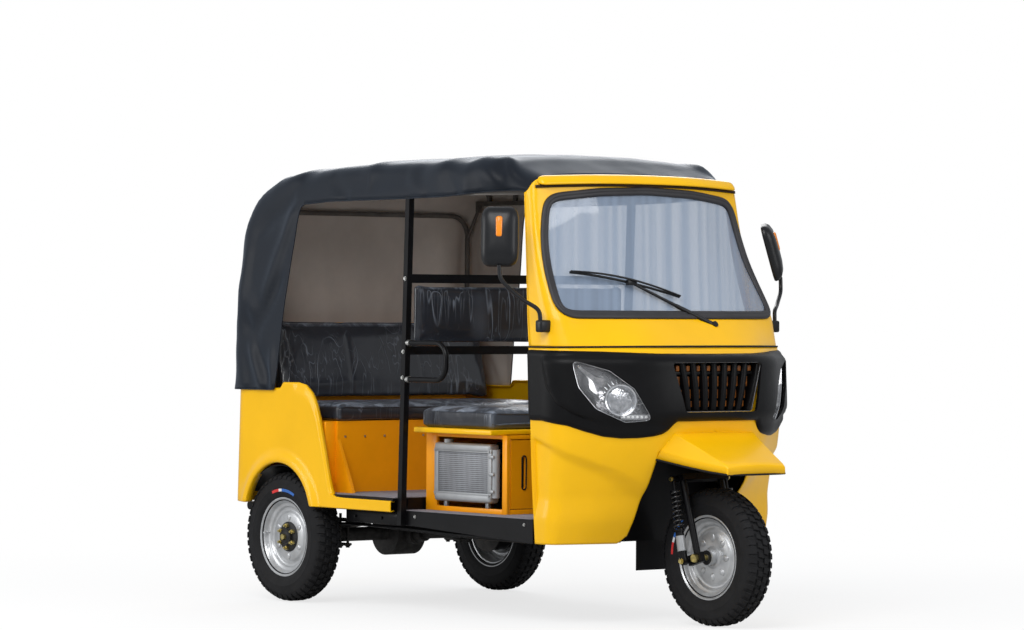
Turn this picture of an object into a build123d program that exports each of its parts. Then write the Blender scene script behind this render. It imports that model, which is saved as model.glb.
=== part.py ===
# Three-wheeled passenger rickshaw: yellow cab and tub, black soft canopy, one steered front wheel.
# Millimetres. +X forward, +Y left, +Z up. Every piece is placed from the rear axle's line on the
# floor (x = 0, z = 0), and the whole set is moved at the end so that its box is centred on the origin.
from build123d import *
import os
from math import cos, radians, sin

# ---------------------------------------------------------------- driving dimensions
WHEELBASE = 2045
TRACK = 1130
REAR_OVERHANG = 400        # rear axle to the back of the bumper
GAP = 0.3                  # between curved faces that nearly touch
SIDES = (-1, 1)            # right, left

# wheels, 4.50-12
TYRE_R = 272.5
TYRE_HALF = 62.5
RIM_R = 168                # flange
RIM_SEAT_R = 153           # where the bead sits
RIM_HALF = 52
RIM_WALL = 5
FLANGE_WALL = 7.7
DRUM_R = 95
DRUM_DEPTH = 80
HUB_CAP_R = 34
HUB_CAP_OUT = 44
REAR_STUB_R = 16
FRONT_AXLE_R = 10
DISC_OUT = 24              # wheel disc's face, outward from the wheel's middle plane

# body
BODY_HALF = 640
PANEL_WALL = 6
FLOOR_WALL = 12
FRONT_FLOOR_Z = 417
REAR_FLOOR_Z = 468
FLOOR_STEP_X = 775
FLOOR_HALF = 565
TUB_BOTTOM_Z = 411
TUB_TOP_Z = 904
TUB_REAR_LOW_X = -358
TUB_REAR_TOP_X = -338
TUB_CORNER_R = 80
ARCH_R = 233
ARCH_CENTRE_Z = 355
LIP_OUT = 14               # flare round the rear wheel arch
LIP_WIDTH = 34
HOUSE_R = 302              # sheet over the rear tyre
HOUSE_INNER_Y = 484
SHEET = 4

# cowl
COWL_WALL = 20
SEAM_Z = 1097              # between the lower cowl and the screen surround
SEAM_GAP = 3
HEADER_Z = 1755            # top of the cowl at its sides
HEADER_CROWN = 30
WELL_HALF = 255            # front wheel opening
WELL_REAR_DX = -345        # from the front axle
WELL_TOP_Z = 700
GLASS_WALL = 6
SEAL_WIDTH = 30

# steering
RAKE = 17
FORK_HALF = 100
FORK_LEG_R = 14
LEG_FOOT_AT = 18           # above the axle's nuts
LUG_WALL = 24
CROWN_AT = 313             # along the steering axis from the axle
CROWN_WALL = 24
STEM_R = 15
HEAD_TUBE_R = 27
HEAD_TUBE_AT = 395
HEAD_TUBE_LENGTH = 175
BAR_AT = 720
BAR_R = 11
GRIP_R = 17
GRIP_LENGTH = 120

# frame
RAIL_Y = 330
RAIL_WIDTH = 40
RAIL_HEIGHT = 60
CROSS_SIZE = 40
TUBE_R = 11                # roof frame
POST_SIZE = 26
POST_Y = 600

# seats
SEAT_TOP_Z = 845
DRIVER_BOX_HALF = 480
BOX_WALL = 15
REAR_BOX_HALF = 560

# canopy
CANOPY_WALL = 6
CANOPY_HALF = 641
CANOPY_TOP_Z = 1878
CANOPY_HEM_Z = 905

nodes = {}


# ---------------------------------------------------------------- shape helpers
def span(x, y, z):
    """Box between the two values of each pair."""
    size = [b - a for a, b in (x, y, z)]
    return Pos(*[(a + b) / 2 for a, b in (x, y, z)]) * Box(*size)


def outline(points, radii=0):
    """Closed face through the points, its corners rounded by the radii."""
    if radii == 0:
        return make_face(Polyline(*points, close=True))
    return make_face(FilletPolyline(*points, radius=radii, close=True))


def side_prism(points, y, radii=0):
    """Side-view outline of (x, z) points, extruded between the two y values."""
    face = outline([(px, y[0], pz) for px, pz in points], radii)
    return extrude(face, amount=y[1] - y[0], dir=(0, 1, 0))


def front_prism(points, x, radii=0):
    """Front-view outline of (y, z) points, extruded between the two x values."""
    face = outline([(x[0], py, pz) for py, pz in points], radii)
    return extrude(face, amount=x[1] - x[0], dir=(1, 0, 0))


def plan_prism(points, z, radii=0):
    """Plan outline of (x, y) points, extruded between the two z values."""
    face = outline([(px, py, z[0]) for px, py in points], radii)
    return extrude(face, amount=z[1] - z[0], dir=(0, 0, 1))


def rod(start, end, radius):
    """Round bar between two points."""
    run = Vector(*end) - Vector(*start)
    return Solid.make_cylinder(radius, run.length, Plane(origin=start, z_dir=run))


def tube(points, bend, radius):
    """Bent bar through the points, with one bend radius or one for each corner."""
    path = FilletPolyline(*points, radius=bend)
    start = Plane(origin=path @ 0, z_dir=path % 0)
    return sweep(start * Circle(radius), path=path)


def both(shape):
    """The shape and its mirror image on the other side, as separate solids of one node."""
    return [shape, mirror(shape, about=Plane.XZ)]


def turned(points, radii=0):
    """Ring about the Y axis from (radius, y) points."""
    return revolve(outline([(r, y) for r, y in points], radii), axis=Axis.Y)


# ---------------------------------------------------------------- wheels
BEAD_HALF = RIM_HALF - FLANGE_WALL
BELLY_R = 218              # where the tyre is widest
TREAD_HALF = 47


def tyre():
    """Ring of eight plain faces: bead seat, bead sides, sidewalls in two parts and tread."""
    half = [(RIM_SEAT_R, BEAD_HALF), (RIM_R, BEAD_HALF), (BELLY_R, TYRE_HALF), (TYRE_R, TREAD_HALF)]
    return turned(half + [(r, -y) for r, y in reversed(half)])


def rim(bore_r):
    """Stepped pressed disc in a plain barrel; +Y is the wheel's outer side."""
    seat = RIM_SEAT_R - GAP
    inside = seat - RIM_WALL
    barrel = turned([(RIM_R, -RIM_HALF), (RIM_R, -BEAD_HALF - GAP), (seat, -BEAD_HALF - GAP),
                     (seat, BEAD_HALF + GAP), (RIM_R, BEAD_HALF + GAP), (RIM_R, RIM_HALF),
                     (inside, RIM_HALF), (inside, -RIM_HALF)])
    step_r = 112
    dish_out = 4
    disc = turned([(inside + 1, dish_out), (inside + 1, dish_out - RIM_WALL),
                   (step_r + 8, dish_out - RIM_WALL), (step_r, DISC_OUT - RIM_WALL),
                   (bore_r, DISC_OUT - RIM_WALL), (bore_r, DISC_OUT), (step_r + 4, DISC_OUT),
                   (step_r + 12, dish_out)])
    return barrel + disc


def rear_hub():
    """Brake drum with the wheel flange and a closed cap; +Y is outward."""
    face = DISC_OUT - RIM_WALL - GAP
    return turned([(REAR_STUB_R + GAP, face - DRUM_DEPTH), (DRUM_R, face - DRUM_DEPTH),
                   (DRUM_R, face - 12), (62, face - 12), (62, face), (HUB_CAP_R, face),
                   (HUB_CAP_R, HUB_CAP_OUT), (0, HUB_CAP_OUT), (0, HUB_CAP_OUT - 6),
                   (REAR_STUB_R + GAP, HUB_CAP_OUT - 6)])


def front_hub():
    """Hub with its drum between the fork legs; +Y is the side of the disc's face."""
    face = DISC_OUT - RIM_WALL - GAP
    bore = FRONT_AXLE_R + GAP
    return turned([(bore, -70), (32, -70), (32, face - 50), (78, face - 50), (78, face - 10),
                   (58, face - 10), (58, face), (HUB_CAP_R, face), (HUB_CAP_R, 56), (bore, 56)])


def place_wheel(shape, x, y, outward):
    facing = shape if outward > 0 else mirror(shape, about=Plane.XZ)
    return Pos(x, y, TYRE_R) * facing


for side, name in zip(SIDES, ("right", "left")):
    place = (0, side * TRACK / 2, side)
    nodes[f"rear_tyre_{name}"] = place_wheel(tyre(), *place)
    nodes[f"rear_rim_{name}"] = place_wheel(rim(HUB_CAP_R + GAP), *place)
    nodes[f"rear_hub_{name}"] = place_wheel(rear_hub(), *place)
nodes["front_tyre"] = place_wheel(tyre(), WHEELBASE, 0, -1)
nodes["front_rim"] = place_wheel(rim(HUB_CAP_R + GAP), WHEELBASE, 0, -1)
nodes["front_hub"] = place_wheel(front_hub(), WHEELBASE, 0, -1)

# ---------------------------------------------------------------- rear axle, springs and drive
AXLE_TUBE_R = 30
BACKPLATE_R = DRUM_R + 6
DIFF_R = 95
DIFF_HALF = 75
DRUM_INNER_Y = TRACK / 2 + DISC_OUT - RIM_WALL - GAP - DRUM_DEPTH
axle_line = (0, 0, TYRE_R)
axle = rod((0, -DRUM_INNER_Y + 5, TYRE_R), (0, DRUM_INNER_Y - 5, TYRE_R), AXLE_TUBE_R)
axle += rod((0, -DIFF_HALF, TYRE_R), (0, DIFF_HALF, TYRE_R), DIFF_R)
axle += rod((0, 0, TYRE_R), (DIFF_R + 40, 0, TYRE_R), 45)
for side in SIDES:
    plate_in = side * (DRUM_INNER_Y - 12)
    axle += rod((0, plate_in, TYRE_R), (0, side * (DRUM_INNER_Y - 5), TYRE_R), BACKPLATE_R)
    stub_end = side * (TRACK / 2 + HUB_CAP_OUT - 8)
    axle += rod((0, plate_in, TYRE_R), (0, stub_end, TYRE_R), REAR_STUB_R)
nodes["rear_axle"] = axle

REAR_RAIL_Z = 445          # top of the rails behind the step
FRONT_RAIL_Z = FRONT_FLOOR_Z - FLOOR_WALL
REAR_FLOOR_UNDER = REAR_FLOOR_Z - FLOOR_WALL
RAIL_REAR_X = -320
RAIL_FRONT_X = WHEELBASE + WELL_REAR_DX - 10
SPRING_HALF = 290
SPRING_WIDTH = 50
SPRING_WALL = 22
SPRING_EYE_R = 16
saddle_z = TYRE_R + AXLE_TUBE_R
spring_eye_z = REAR_RAIL_Z - RAIL_HEIGHT - SPRING_EYE_R - 14
leaf_low = saddle_z + 1
leaf = make_face(
    ThreePointArc((-SPRING_HALF, 0, spring_eye_z), (0, 0, leaf_low), (SPRING_HALF, 0, spring_eye_z))
    + Line((SPRING_HALF, 0, spring_eye_z), (SPRING_HALF, 0, spring_eye_z + SPRING_WALL / 2))
    + ThreePointArc((SPRING_HALF, 0, spring_eye_z + SPRING_WALL / 2),
                    (0, 0, leaf_low + SPRING_WALL),
                    (-SPRING_HALF, 0, spring_eye_z + SPRING_WALL / 2))
    + Line((-SPRING_HALF, 0, spring_eye_z + SPRING_WALL / 2), (-SPRING_HALF, 0, spring_eye_z)))
spring = Pos(0, RAIL_Y - SPRING_WIDTH / 2, 0) * extrude(leaf, amount=SPRING_WIDTH, dir=(0, 1, 0))
for end in SIDES:
    eye = (end * SPRING_HALF, RAIL_Y - SPRING_WIDTH / 2, spring_eye_z + 2)
    spring += rod(eye, (eye[0], RAIL_Y + SPRING_WIDTH / 2, eye[2]), SPRING_EYE_R)
    spring += span((eye[0] - 8, eye[0] + 8), (RAIL_Y - 15, RAIL_Y + 15),
                   (eye[2], REAR_RAIL_Z - RAIL_HEIGHT))

DAMPER_R = 22
DAMPER_Y = 410
damper = rod((60, DAMPER_Y, TYRE_R + 12), (60, DAMPER_Y, REAR_FLOOR_UNDER - 40), DAMPER_R)
damper += rod((60, DAMPER_Y, TYRE_R + 12), (60, DAMPER_Y, REAR_FLOOR_UNDER), 8)
damper += span((AXLE_TUBE_R - 2, 72), (DAMPER_Y - 12, DAMPER_Y + 12), (TYRE_R - 12, TYRE_R + 12)) \
    - rod((0, DAMPER_Y - 12, TYRE_R), (0, DAMPER_Y + 12, TYRE_R), AXLE_TUBE_R + GAP)
nodes["rear_suspension"] = both(spring) + both(damper)

ENGINE_X = (850, 1240)
ENGINE_HALF = 170
ENGINE_Z = (300, 690)
engine = span(ENGINE_X, (-ENGINE_HALF, ENGINE_HALF), ENGINE_Z)
nodes["engine_block"] = engine

SHAFT_R = 22
shaft_start = (DIFF_R + 45, 0, TYRE_R)
shaft_end = (ENGINE_X[0] - 5, 0, ENGINE_Z[0] + 22)
shaft = rod(shaft_start, shaft_end, SHAFT_R)
for joint_at in (shaft_start, shaft_end):
    inward = 1 if joint_at is shaft_start else -1
    shaft += rod(joint_at, (joint_at[0] + inward * 45, 0, joint_at[2] + inward * 5), 34)
nodes["prop_shaft"] = shaft

SILENCER_R = 50
SILENCER_X = (330, 700)
SILENCER_Y = 190
SILENCER_Z = 300
PIPE_R = 15
exhaust = rod((SILENCER_X[0], SILENCER_Y, SILENCER_Z), (SILENCER_X[1], SILENCER_Y, SILENCER_Z), SILENCER_R)
exhaust += rod((SILENCER_X[1] - 5, SILENCER_Y, SILENCER_Z),
               (ENGINE_X[0] - 6, ENGINE_HALF - 30, ENGINE_Z[0] + 25), PIPE_R)
exhaust += tube([(SILENCER_X[0] + 5, SILENCER_Y, SILENCER_Z + 20), (180, SILENCER_Y, 345),
                 (-180, SILENCER_Y, 345), (-330, SILENCER_Y, 320)], [120, 120], PIPE_R)
nodes["exhaust"] = exhaust

# ---------------------------------------------------------------- chassis
STEP_RUN = 60
rail = side_prism([(RAIL_REAR_X, REAR_RAIL_Z - RAIL_HEIGHT), (RAIL_REAR_X, REAR_RAIL_Z),
                   (FLOOR_STEP_X - STEP_RUN, REAR_RAIL_Z), (FLOOR_STEP_X, FRONT_RAIL_Z),
                   (RAIL_FRONT_X, FRONT_RAIL_Z), (RAIL_FRONT_X, FRONT_RAIL_Z - RAIL_HEIGHT),
                   (FLOOR_STEP_X, FRONT_RAIL_Z - RAIL_HEIGHT),
                   (FLOOR_STEP_X - STEP_RUN, REAR_RAIL_Z - RAIL_HEIGHT)],
                  (RAIL_Y - RAIL_WIDTH / 2, RAIL_Y + RAIL_WIDTH / 2))
spacer = span((RAIL_REAR_X, FLOOR_STEP_X - STEP_RUN), (RAIL_Y - 10, RAIL_Y + 10),
              (REAR_RAIL_Z, REAR_FLOOR_UNDER))
chassis = both(rail + spacer)

# cross members; their outriggers carry the floor's edges and the side sills
# columns: x of the middle, top z, half width over the outriggers
FRONT_REACH = 535
CROSS_MEMBERS = [(-300, REAR_RAIL_Z, 0), (300, REAR_RAIL_Z, BODY_HALF - PANEL_WALL),
                 (810, FRONT_RAIL_Z, FLOOR_HALF), (1290, FRONT_RAIL_Z, FLOOR_HALF),
                 (1660, FRONT_RAIL_Z, FRONT_REACH)]
cross_half = RAIL_Y - RAIL_WIDTH / 2
outrigger_in = RAIL_Y + RAIL_WIDTH / 2
for x, top, reach in CROSS_MEMBERS:
    chassis.append(span((x - CROSS_SIZE / 2, x + CROSS_SIZE / 2), (-cross_half, cross_half),
                        (top - CROSS_SIZE, top)))
    if reach:
        chassis += both(span((x - 15, x + 15), (outrigger_in, reach), (top - 30, top)))
nodes["chassis_frame"] = chassis

SILL_X = (FLOOR_STEP_X, WHEELBASE - 433)
SILL_BOTTOM_REAR = 360
SILL_BOTTOM_FRONT = 322
SILL_OUT_Y = POST_Y - POST_SIZE / 2

sill = side_prism([(SILL_X[0], SILL_BOTTOM_REAR), (SILL_X[1], SILL_BOTTOM_FRONT),
                   (SILL_X[1], FRONT_FLOOR_Z), (SILL_X[0], FRONT_FLOOR_Z)], (FLOOR_HALF, SILL_OUT_Y))
nodes["side_sills"] = both(sill)

front_floor_x = WHEELBASE + WELL_REAR_DX - SHEET
floor = span((FLOOR_STEP_X, front_floor_x), (-FLOOR_HALF, FLOOR_HALF), (FRONT_RAIL_Z, FRONT_FLOOR_Z))
floor += span((FLOOR_STEP_X, FLOOR_STEP_X + FLOOR_WALL), (-FLOOR_HALF, FLOOR_HALF),
              (FRONT_RAIL_Z, REAR_FLOOR_Z))
floor += span((TUB_REAR_TOP_X + 8, FLOOR_STEP_X), (-HOUSE_INNER_Y, HOUSE_INNER_Y),
              (REAR_FLOOR_UNDER, REAR_FLOOR_Z))
floor += span((HOUSE_R + 6, FLOOR_STEP_X), (-BODY_HALF + PANEL_WALL, BODY_HALF - PANEL_WALL),
              (REAR_FLOOR_UNDER, REAR_FLOOR_Z))
nodes["floor_pan"] = floor - span((ENGINE_X[0] - 10, ENGINE_X[1] + 10),
                                  (-ENGINE_HALF - 10, ENGINE_HALF + 10),
                                  (FRONT_RAIL_Z - 1, FRONT_FLOOR_Z + 1))

# ---------------------------------------------------------------- rear body
TUB_FRONT_X = FLOOR_STEP_X - 10
TUB_SILL_TOP = 457


def tub_plan(inset, rear_x, z):
    """Plan section of the tub, open at the front, its rear corners rounded."""
    half = BODY_HALF - inset
    rear = rear_x + inset
    corner = TUB_CORNER_R - inset
    return outline([(TUB_FRONT_X, -half, z), (rear, -half, z), (rear, half, z),
                    (TUB_FRONT_X, half, z)], [0, corner, corner, 0])


def tub_solid(inset, extra=0):
    low = tub_plan(inset, TUB_REAR_LOW_X, TUB_BOTTOM_Z - extra)
    top = tub_plan(inset, TUB_REAR_TOP_X, TUB_TOP_Z + 40 + extra)
    return loft([low, top], ruled=True)


tub_shell = tub_solid(0) - tub_solid(PANEL_WALL, extra=1) \
    - span((TUB_FRONT_X - 1, TUB_FRONT_X + 1), (-BODY_HALF, BODY_HALF), (400, 1000))
# side view of a rear side panel: columns x, z, corner radius
SIDE_PANEL = [(-420, TUB_BOTTOM_Z - 9, 0), (-420, TUB_TOP_Z, 0), (2, 899, 0), (18, 929, 12),
              (150, 929, 90), (262, 800, 60), (345, 530, 40), (372, TUB_SILL_TOP, 40),
              (TUB_FRONT_X + 9, TUB_SILL_TOP, 0), (TUB_FRONT_X + 9, TUB_BOTTOM_Z - 9, 0)]
panel_side = [(x, z) for x, z, r in SIDE_PANEL]
panel_radii = [r for x, z, r in SIDE_PANEL]
arch_hole = Pos(0, 0, ARCH_CENTRE_Z) * Rot(90, 0, 0) * Cylinder(ARCH_R, 2 * BODY_HALF + 200)
REAR_PANEL_HALF = BODY_HALF - TUB_CORNER_R
lip = turned([(ARCH_R - 3, BODY_HALF), (ARCH_R - 3, BODY_HALF + LIP_OUT), (ARCH_R + 2, BODY_HALF + LIP_OUT),
              (ARCH_R + LIP_WIDTH, BODY_HALF)])
lip = Pos(0, 0, ARCH_CENTRE_Z) * lip
lip &= span((-2 * ARCH_R, 2 * ARCH_R), (0, 2 * BODY_HALF), (TUB_BOTTOM_Z, 2 * ARCH_CENTRE_Z))
cut = side_prism(panel_side, (REAR_PANEL_HALF, BODY_HALF + 1), panel_radii)
nodes["rear_side_panels"] = both((tub_shell & cut) - arch_hole + lip)

rear_cut = span((TUB_REAR_LOW_X - 10, TUB_REAR_TOP_X + PANEL_WALL + 20),
                (-REAR_PANEL_HALF, REAR_PANEL_HALF), (TUB_BOTTOM_Z, TUB_TOP_Z))
nodes["rear_panel"] = tub_shell & rear_cut

house_outer = rod((0, HOUSE_INNER_Y, TYRE_R), (0, BODY_HALF - PANEL_WALL, TYRE_R), HOUSE_R + SHEET)
house_inner = rod((0, HOUSE_INNER_Y + SHEET, TYRE_R), (0, BODY_HALF, TYRE_R), HOUSE_R)
house = (house_outer - house_inner) & span((-HOUSE_R - 9, HOUSE_R + 9), (0, BODY_HALF),
                                           (REAR_FLOOR_UNDER, 2 * HOUSE_R + TYRE_R))
nodes["wheel_houses"] = both(house)

LAMP_Y = 500
lamp = span((TUB_REAR_LOW_X - 26, TUB_REAR_TOP_X - 6), (LAMP_Y - 38, LAMP_Y + 38), (640, 790))
nodes["tail_lamps"] = both(lamp - tub_solid(0))
PLATE_WIDTH = 280
PLATE_HEIGHT = 160
PLATE_LOW_Z = 520
PLATE_HOLE_R = 3.5
PLATE_HOLE_SPACING = 150
PLATE_HOLE_DROP = 20       # from the top edge
PLATE_WALL = 8
plate_z = (PLATE_LOW_Z, PLATE_LOW_Z + PLATE_HEIGHT)
plate_x = (TUB_REAR_LOW_X - PLATE_WALL, TUB_REAR_LOW_X)
plate = span(plate_x, (-PLATE_WIDTH / 2, PLATE_WIDTH / 2), plate_z)
for side in SIDES:
    hole_y = side * PLATE_HOLE_SPACING / 2
    hole_z = plate_z[1] - PLATE_HOLE_DROP
    plate -= rod((plate_x[0] - 1, hole_y, hole_z), (plate_x[1] + 1, hole_y, hole_z), PLATE_HOLE_R)
# the tub's rear leans forward a little, so a wedge of the bracket fills the space behind
bracket = span((TUB_REAR_LOW_X, TUB_REAR_LOW_X + 12), (-40, 40), plate_z) - tub_solid(0)
nodes["number_plate"] = plate + bracket

BUMPER_R = 19
BUMPER_Z = 388
bumper_x = -REAR_OVERHANG + BUMPER_R
bumper = rod((bumper_x, -520, BUMPER_Z), (bumper_x, 520, BUMPER_Z), BUMPER_R)
for side in SIDES:
    bumper += span((bumper_x, RAIL_REAR_X), (side * RAIL_Y - 15, side * RAIL_Y + 15), (386, 405))
nodes["rear_bumper"] = bumper

# ---------------------------------------------------------------- rear seat
REAR_BOX_FRONT_X = 300
REAR_BOX_REAR_X = -170
REAR_BOX_TOP_Z = 770
seat_box = span((REAR_BOX_FRONT_X - BOX_WALL, REAR_BOX_FRONT_X), (-REAR_BOX_HALF, REAR_BOX_HALF),
                (REAR_FLOOR_Z, REAR_BOX_TOP_Z))
seat_box += span((REAR_BOX_REAR_X, REAR_BOX_FRONT_X), (-REAR_BOX_HALF, REAR_BOX_HALF),
                 (REAR_BOX_TOP_Z - BOX_WALL, REAR_BOX_TOP_Z))
seat_box += span((REAR_BOX_REAR_X, REAR_BOX_REAR_X + BOX_WALL), (-HOUSE_INNER_Y, HOUSE_INNER_Y),
                 (REAR_FLOOR_Z, REAR_BOX_TOP_Z))
GUSSET = [(200, 694), (REAR_BOX_FRONT_X, 694), (408, REAR_FLOOR_Z), (REAR_BOX_FRONT_X, REAR_FLOOR_Z)]
gusset = side_prism(GUSSET, (REAR_BOX_HALF - BOX_WALL, REAR_BOX_HALF))
nodes["rear_seat_box"] = seat_box + gusset + mirror(gusset, about=Plane.XZ)

CUSHION_HALF = 585
nodes["rear_seat_cushion"] = side_prism(
    [(-150, REAR_BOX_TOP_Z), (330, REAR_BOX_TOP_Z), (330, SEAT_TOP_Z), (-150, SEAT_TOP_Z)],
    (-CUSHION_HALF, CUSHION_HALF), [0, 25, 25, 0])
BACK_WALL = 75
BACK_TOP_Z = 1200
back_foot_x = -65
back_top_x = -150
nodes["rear_seat_back"] = side_prism(
    [(back_foot_x, SEAT_TOP_Z), (back_top_x, BACK_TOP_Z), (back_top_x - BACK_WALL, BACK_TOP_Z),
     (back_foot_x - BACK_WALL, SEAT_TOP_Z)], (-CUSHION_HALF, CUSHION_HALF), [10, 30, 30, 0])
back_board_x = back_foot_x - BACK_WALL
board = side_prism([(back_board_x, SEAT_TOP_Z), (back_top_x - BACK_WALL, BACK_TOP_Z - 20),
                    (back_top_x - BACK_WALL - 14, BACK_TOP_Z - 20), (-284, TUB_TOP_Z),
                    (-284, REAR_FLOOR_Z), (-270, REAR_FLOOR_Z), (-270, SEAT_TOP_Z - 20),
                    (-151, SEAT_TOP_Z - 20), (-151, SEAT_TOP_Z)], (-HOUSE_INNER_Y, HOUSE_INNER_Y))
nodes["rear_seat_box"] += board

# ---------------------------------------------------------------- driver's seat
DRIVER_BOX_X = (798, WHEELBASE - 725)
PAN_Z = (738, 760)
PAN_FRONT_X = DRIVER_BOX_X[1] - 23
DOOR_Y = (-DRIVER_BOX_HALF + BOX_WALL + 4, -140)
BAY_X = (870, DRIVER_BOX_X[1] - 30)
BAY_LOW_Z = 440
DOOR_Z = (BAY_LOW_Z, 722)
DOOR_GAP = 3
box_z = (FRONT_FLOOR_Z, PAN_Z[0])
outer_box = span(DRIVER_BOX_X, (-DRIVER_BOX_HALF, DRIVER_BOX_HALF), box_z)
inner_box = span((DRIVER_BOX_X[0] + BOX_WALL, DRIVER_BOX_X[1] - BOX_WALL),
                 (-DRIVER_BOX_HALF + BOX_WALL, DRIVER_BOX_HALF - BOX_WALL),
                 (box_z[0] - 1, box_z[1] + 1))
driver_box = outer_box - inner_box
driver_box -= span(BAY_X, (-DRIVER_BOX_HALF - 1, -DRIVER_BOX_HALF + BOX_WALL + 1), (BAY_LOW_Z, DOOR_Z[1]))
driver_box -= span((DRIVER_BOX_X[1] - BOX_WALL - 1, DRIVER_BOX_X[1] + 1), DOOR_Y, DOOR_Z)
nodes["driver_seat_box"] = driver_box + span((DRIVER_BOX_X[0] - 5, PAN_FRONT_X), (-545, 545), PAN_Z)

door = span((DRIVER_BOX_X[1] - BOX_WALL, DRIVER_BOX_X[1]),
            (DOOR_Y[0] + DOOR_GAP, DOOR_Y[1] - DOOR_GAP), (DOOR_Z[0] + DOOR_GAP, DOOR_Z[1] - DOOR_GAP))
SLOT_Y = DOOR_Y[0] + 70
SLOT_HALF = 11
SLOT_Z = (520, 655)
slot = span((DRIVER_BOX_X[1] - BOX_WALL - 1, DRIVER_BOX_X[1] + 1), (SLOT_Y - SLOT_HALF, SLOT_Y + SLOT_HALF),
            (SLOT_Z[0] + SLOT_HALF, SLOT_Z[1] - SLOT_HALF))
for slot_end in (SLOT_Z[0] + SLOT_HALF, SLOT_Z[1] - SLOT_HALF):
    slot += rod((DRIVER_BOX_X[1] - BOX_WALL - 1, SLOT_Y, slot_end), (DRIVER_BOX_X[1] + 1, SLOT_Y, slot_end),
                SLOT_HALF)
nodes["seat_box_door"] = door - slot

RADIATOR_X = (875, 1243)
RADIATOR_Y = (-498, -450)
RADIATOR_Z = (462, 700)
radiator = span(RADIATOR_X, RADIATOR_Y, (RADIATOR_Z[0] + 30, RADIATOR_Z[1] - 30))
for z in (RADIATOR_Z[0], RADIATOR_Z[1] - 30):
    radiator += span(RADIATOR_X, (RADIATOR_Y[0] - 4, RADIATOR_Y[1]), (z, z + 30))
for x in (RADIATOR_X[0] + 40, RADIATOR_X[1] - 60):
    radiator += span((x, x + 20), (-DRIVER_BOX_HALF, -DRIVER_BOX_HALF + BOX_WALL), (BAY_LOW_Z, RADIATOR_Z[0]))
nodes["radiator"] = radiator

nodes["driver_seat_cushion"] = side_prism(
    [(DRIVER_BOX_X[0] + 2, PAN_Z[1]), (PAN_FRONT_X - 8, PAN_Z[1]), (PAN_FRONT_X - 8, SEAT_TOP_Z),
     (DRIVER_BOX_X[0] + 2, SEAT_TOP_Z)], (-540, 540), [0, 25, 25, 0])

# posts lean a little; the backrest's bars run from post to post
POST_FOOT = (775 + POST_SIZE / 2, 357)
POST_HEAD = (819 + POST_SIZE / 2, 1700)
post = side_prism([(POST_FOOT[0] - POST_SIZE / 2, POST_FOOT[1]), (POST_FOOT[0] + POST_SIZE / 2, POST_FOOT[1]),
                   (POST_HEAD[0] + POST_SIZE / 2, POST_HEAD[1]), (POST_HEAD[0] - POST_SIZE / 2, POST_HEAD[1])],
                  (POST_Y - POST_SIZE / 2, POST_Y + POST_SIZE / 2))
nodes["side_posts"] = both(post)
POST_LEAN = (POST_HEAD[0] - POST_FOOT[0]) / (POST_HEAD[1] - POST_FOOT[1])


def post_x(z):
    """Middle of the post at the height z."""
    return POST_FOOT[0] + (z - POST_FOOT[1]) * POST_LEAN


BAR_HALF = POST_Y - POST_SIZE / 2
BACK_BARS = [(1056, 1090), (1349, 1385)]      # z from, z to
bars = [span((post_x(low) - 13, post_x(low) + 13), (-BAR_HALF, BAR_HALF), (low, top))
        for low, top in BACK_BARS]
nodes["backrest_bars"] = bars
pad_x = post_x(BACK_BARS[0][0])
nodes["driver_backrest"] = span((pad_x - 20, pad_x + 22), (-BAR_HALF + 12, BAR_HALF - 12),
                                (BACK_BARS[0][1] + 2, BACK_BARS[1][0] - 2))

HANDLE_Z = (955, 1104)
HANDLE_REACH = 255
handle_x = post_x(HANDLE_Z[1]) + POST_SIZE / 2 - 4
handle_low_x = post_x(HANDLE_Z[0]) + POST_SIZE / 2 - 4
handle = tube([(handle_x, POST_Y, HANDLE_Z[1]), (handle_x + HANDLE_REACH, POST_Y, HANDLE_Z[1]),
               (handle_x + HANDLE_REACH, POST_Y, HANDLE_Z[0]), (handle_low_x, POST_Y, HANDLE_Z[0])],
              [62, 62], TUBE_R)
nodes["grab_handles"] = both(handle - post)

# ---------------------------------------------------------------- cowl
# Plan sections of the outer skin. Columns: z; then from the front axle, x of the rear edge, half width,
# x of the shoulder, shoulder radius, x of the front corner, y of the front corner, its radius.
COWL = [(323, -418, 582, -335, 80, -272, 262, 30),
        (572, -425, 593, -300, 200, -118, 262, 120),
        (800, -429, 600, -275, 250, -10, 264, 420),
        (1041, -439, 600, -280, 250, -20, 264, 420),
        (1097, -443, 600, -285, 240, -92, 285, 500),
        (1218, -455, 598, -300, 120, -217, 300, 800),
        (1462, -506, 565, -438, 75, -355, 280, 800),
        (1740, -545, 545, -498, 45, -440, 250, 800),
        (1790, -553, 540, -504, 45, -446, 250, 800)]
COWL_LOW_Z = COWL[0][0]


def cowl_section(row, inset, z):
    """Closed plan face of one section, inset from the outer skin and open-ended at the rear."""
    rear_x, half, shoulder_x, shoulder_r, front_x, front_y, front_r = row[1:]
    slope = Vector(front_x - shoulder_x, front_y - half, 0).normalized()
    inward = Vector(slope.Y, -slope.X, 0)
    edge = Vector(shoulder_x, half, 0) + inward * inset
    shoulder = edge + slope * ((half - inset - edge.Y) / slope.Y)
    corner = edge + slope * ((front_x - inset - edge.X) / slope.X)
    rear = WHEELBASE + rear_x - (60 if inset else 0)
    right = [(rear, -half + inset, z), (WHEELBASE + shoulder.X, -shoulder.Y, z),
             (WHEELBASE + corner.X, -corner.Y, z)]
    left = [(x, -y, z) for x, y, z in reversed(right)]
    bends = [0, max(shoulder_r - inset, 8), max(front_r - inset, 8)]
    return outline(right + left, bends + bends[::-1])


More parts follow.
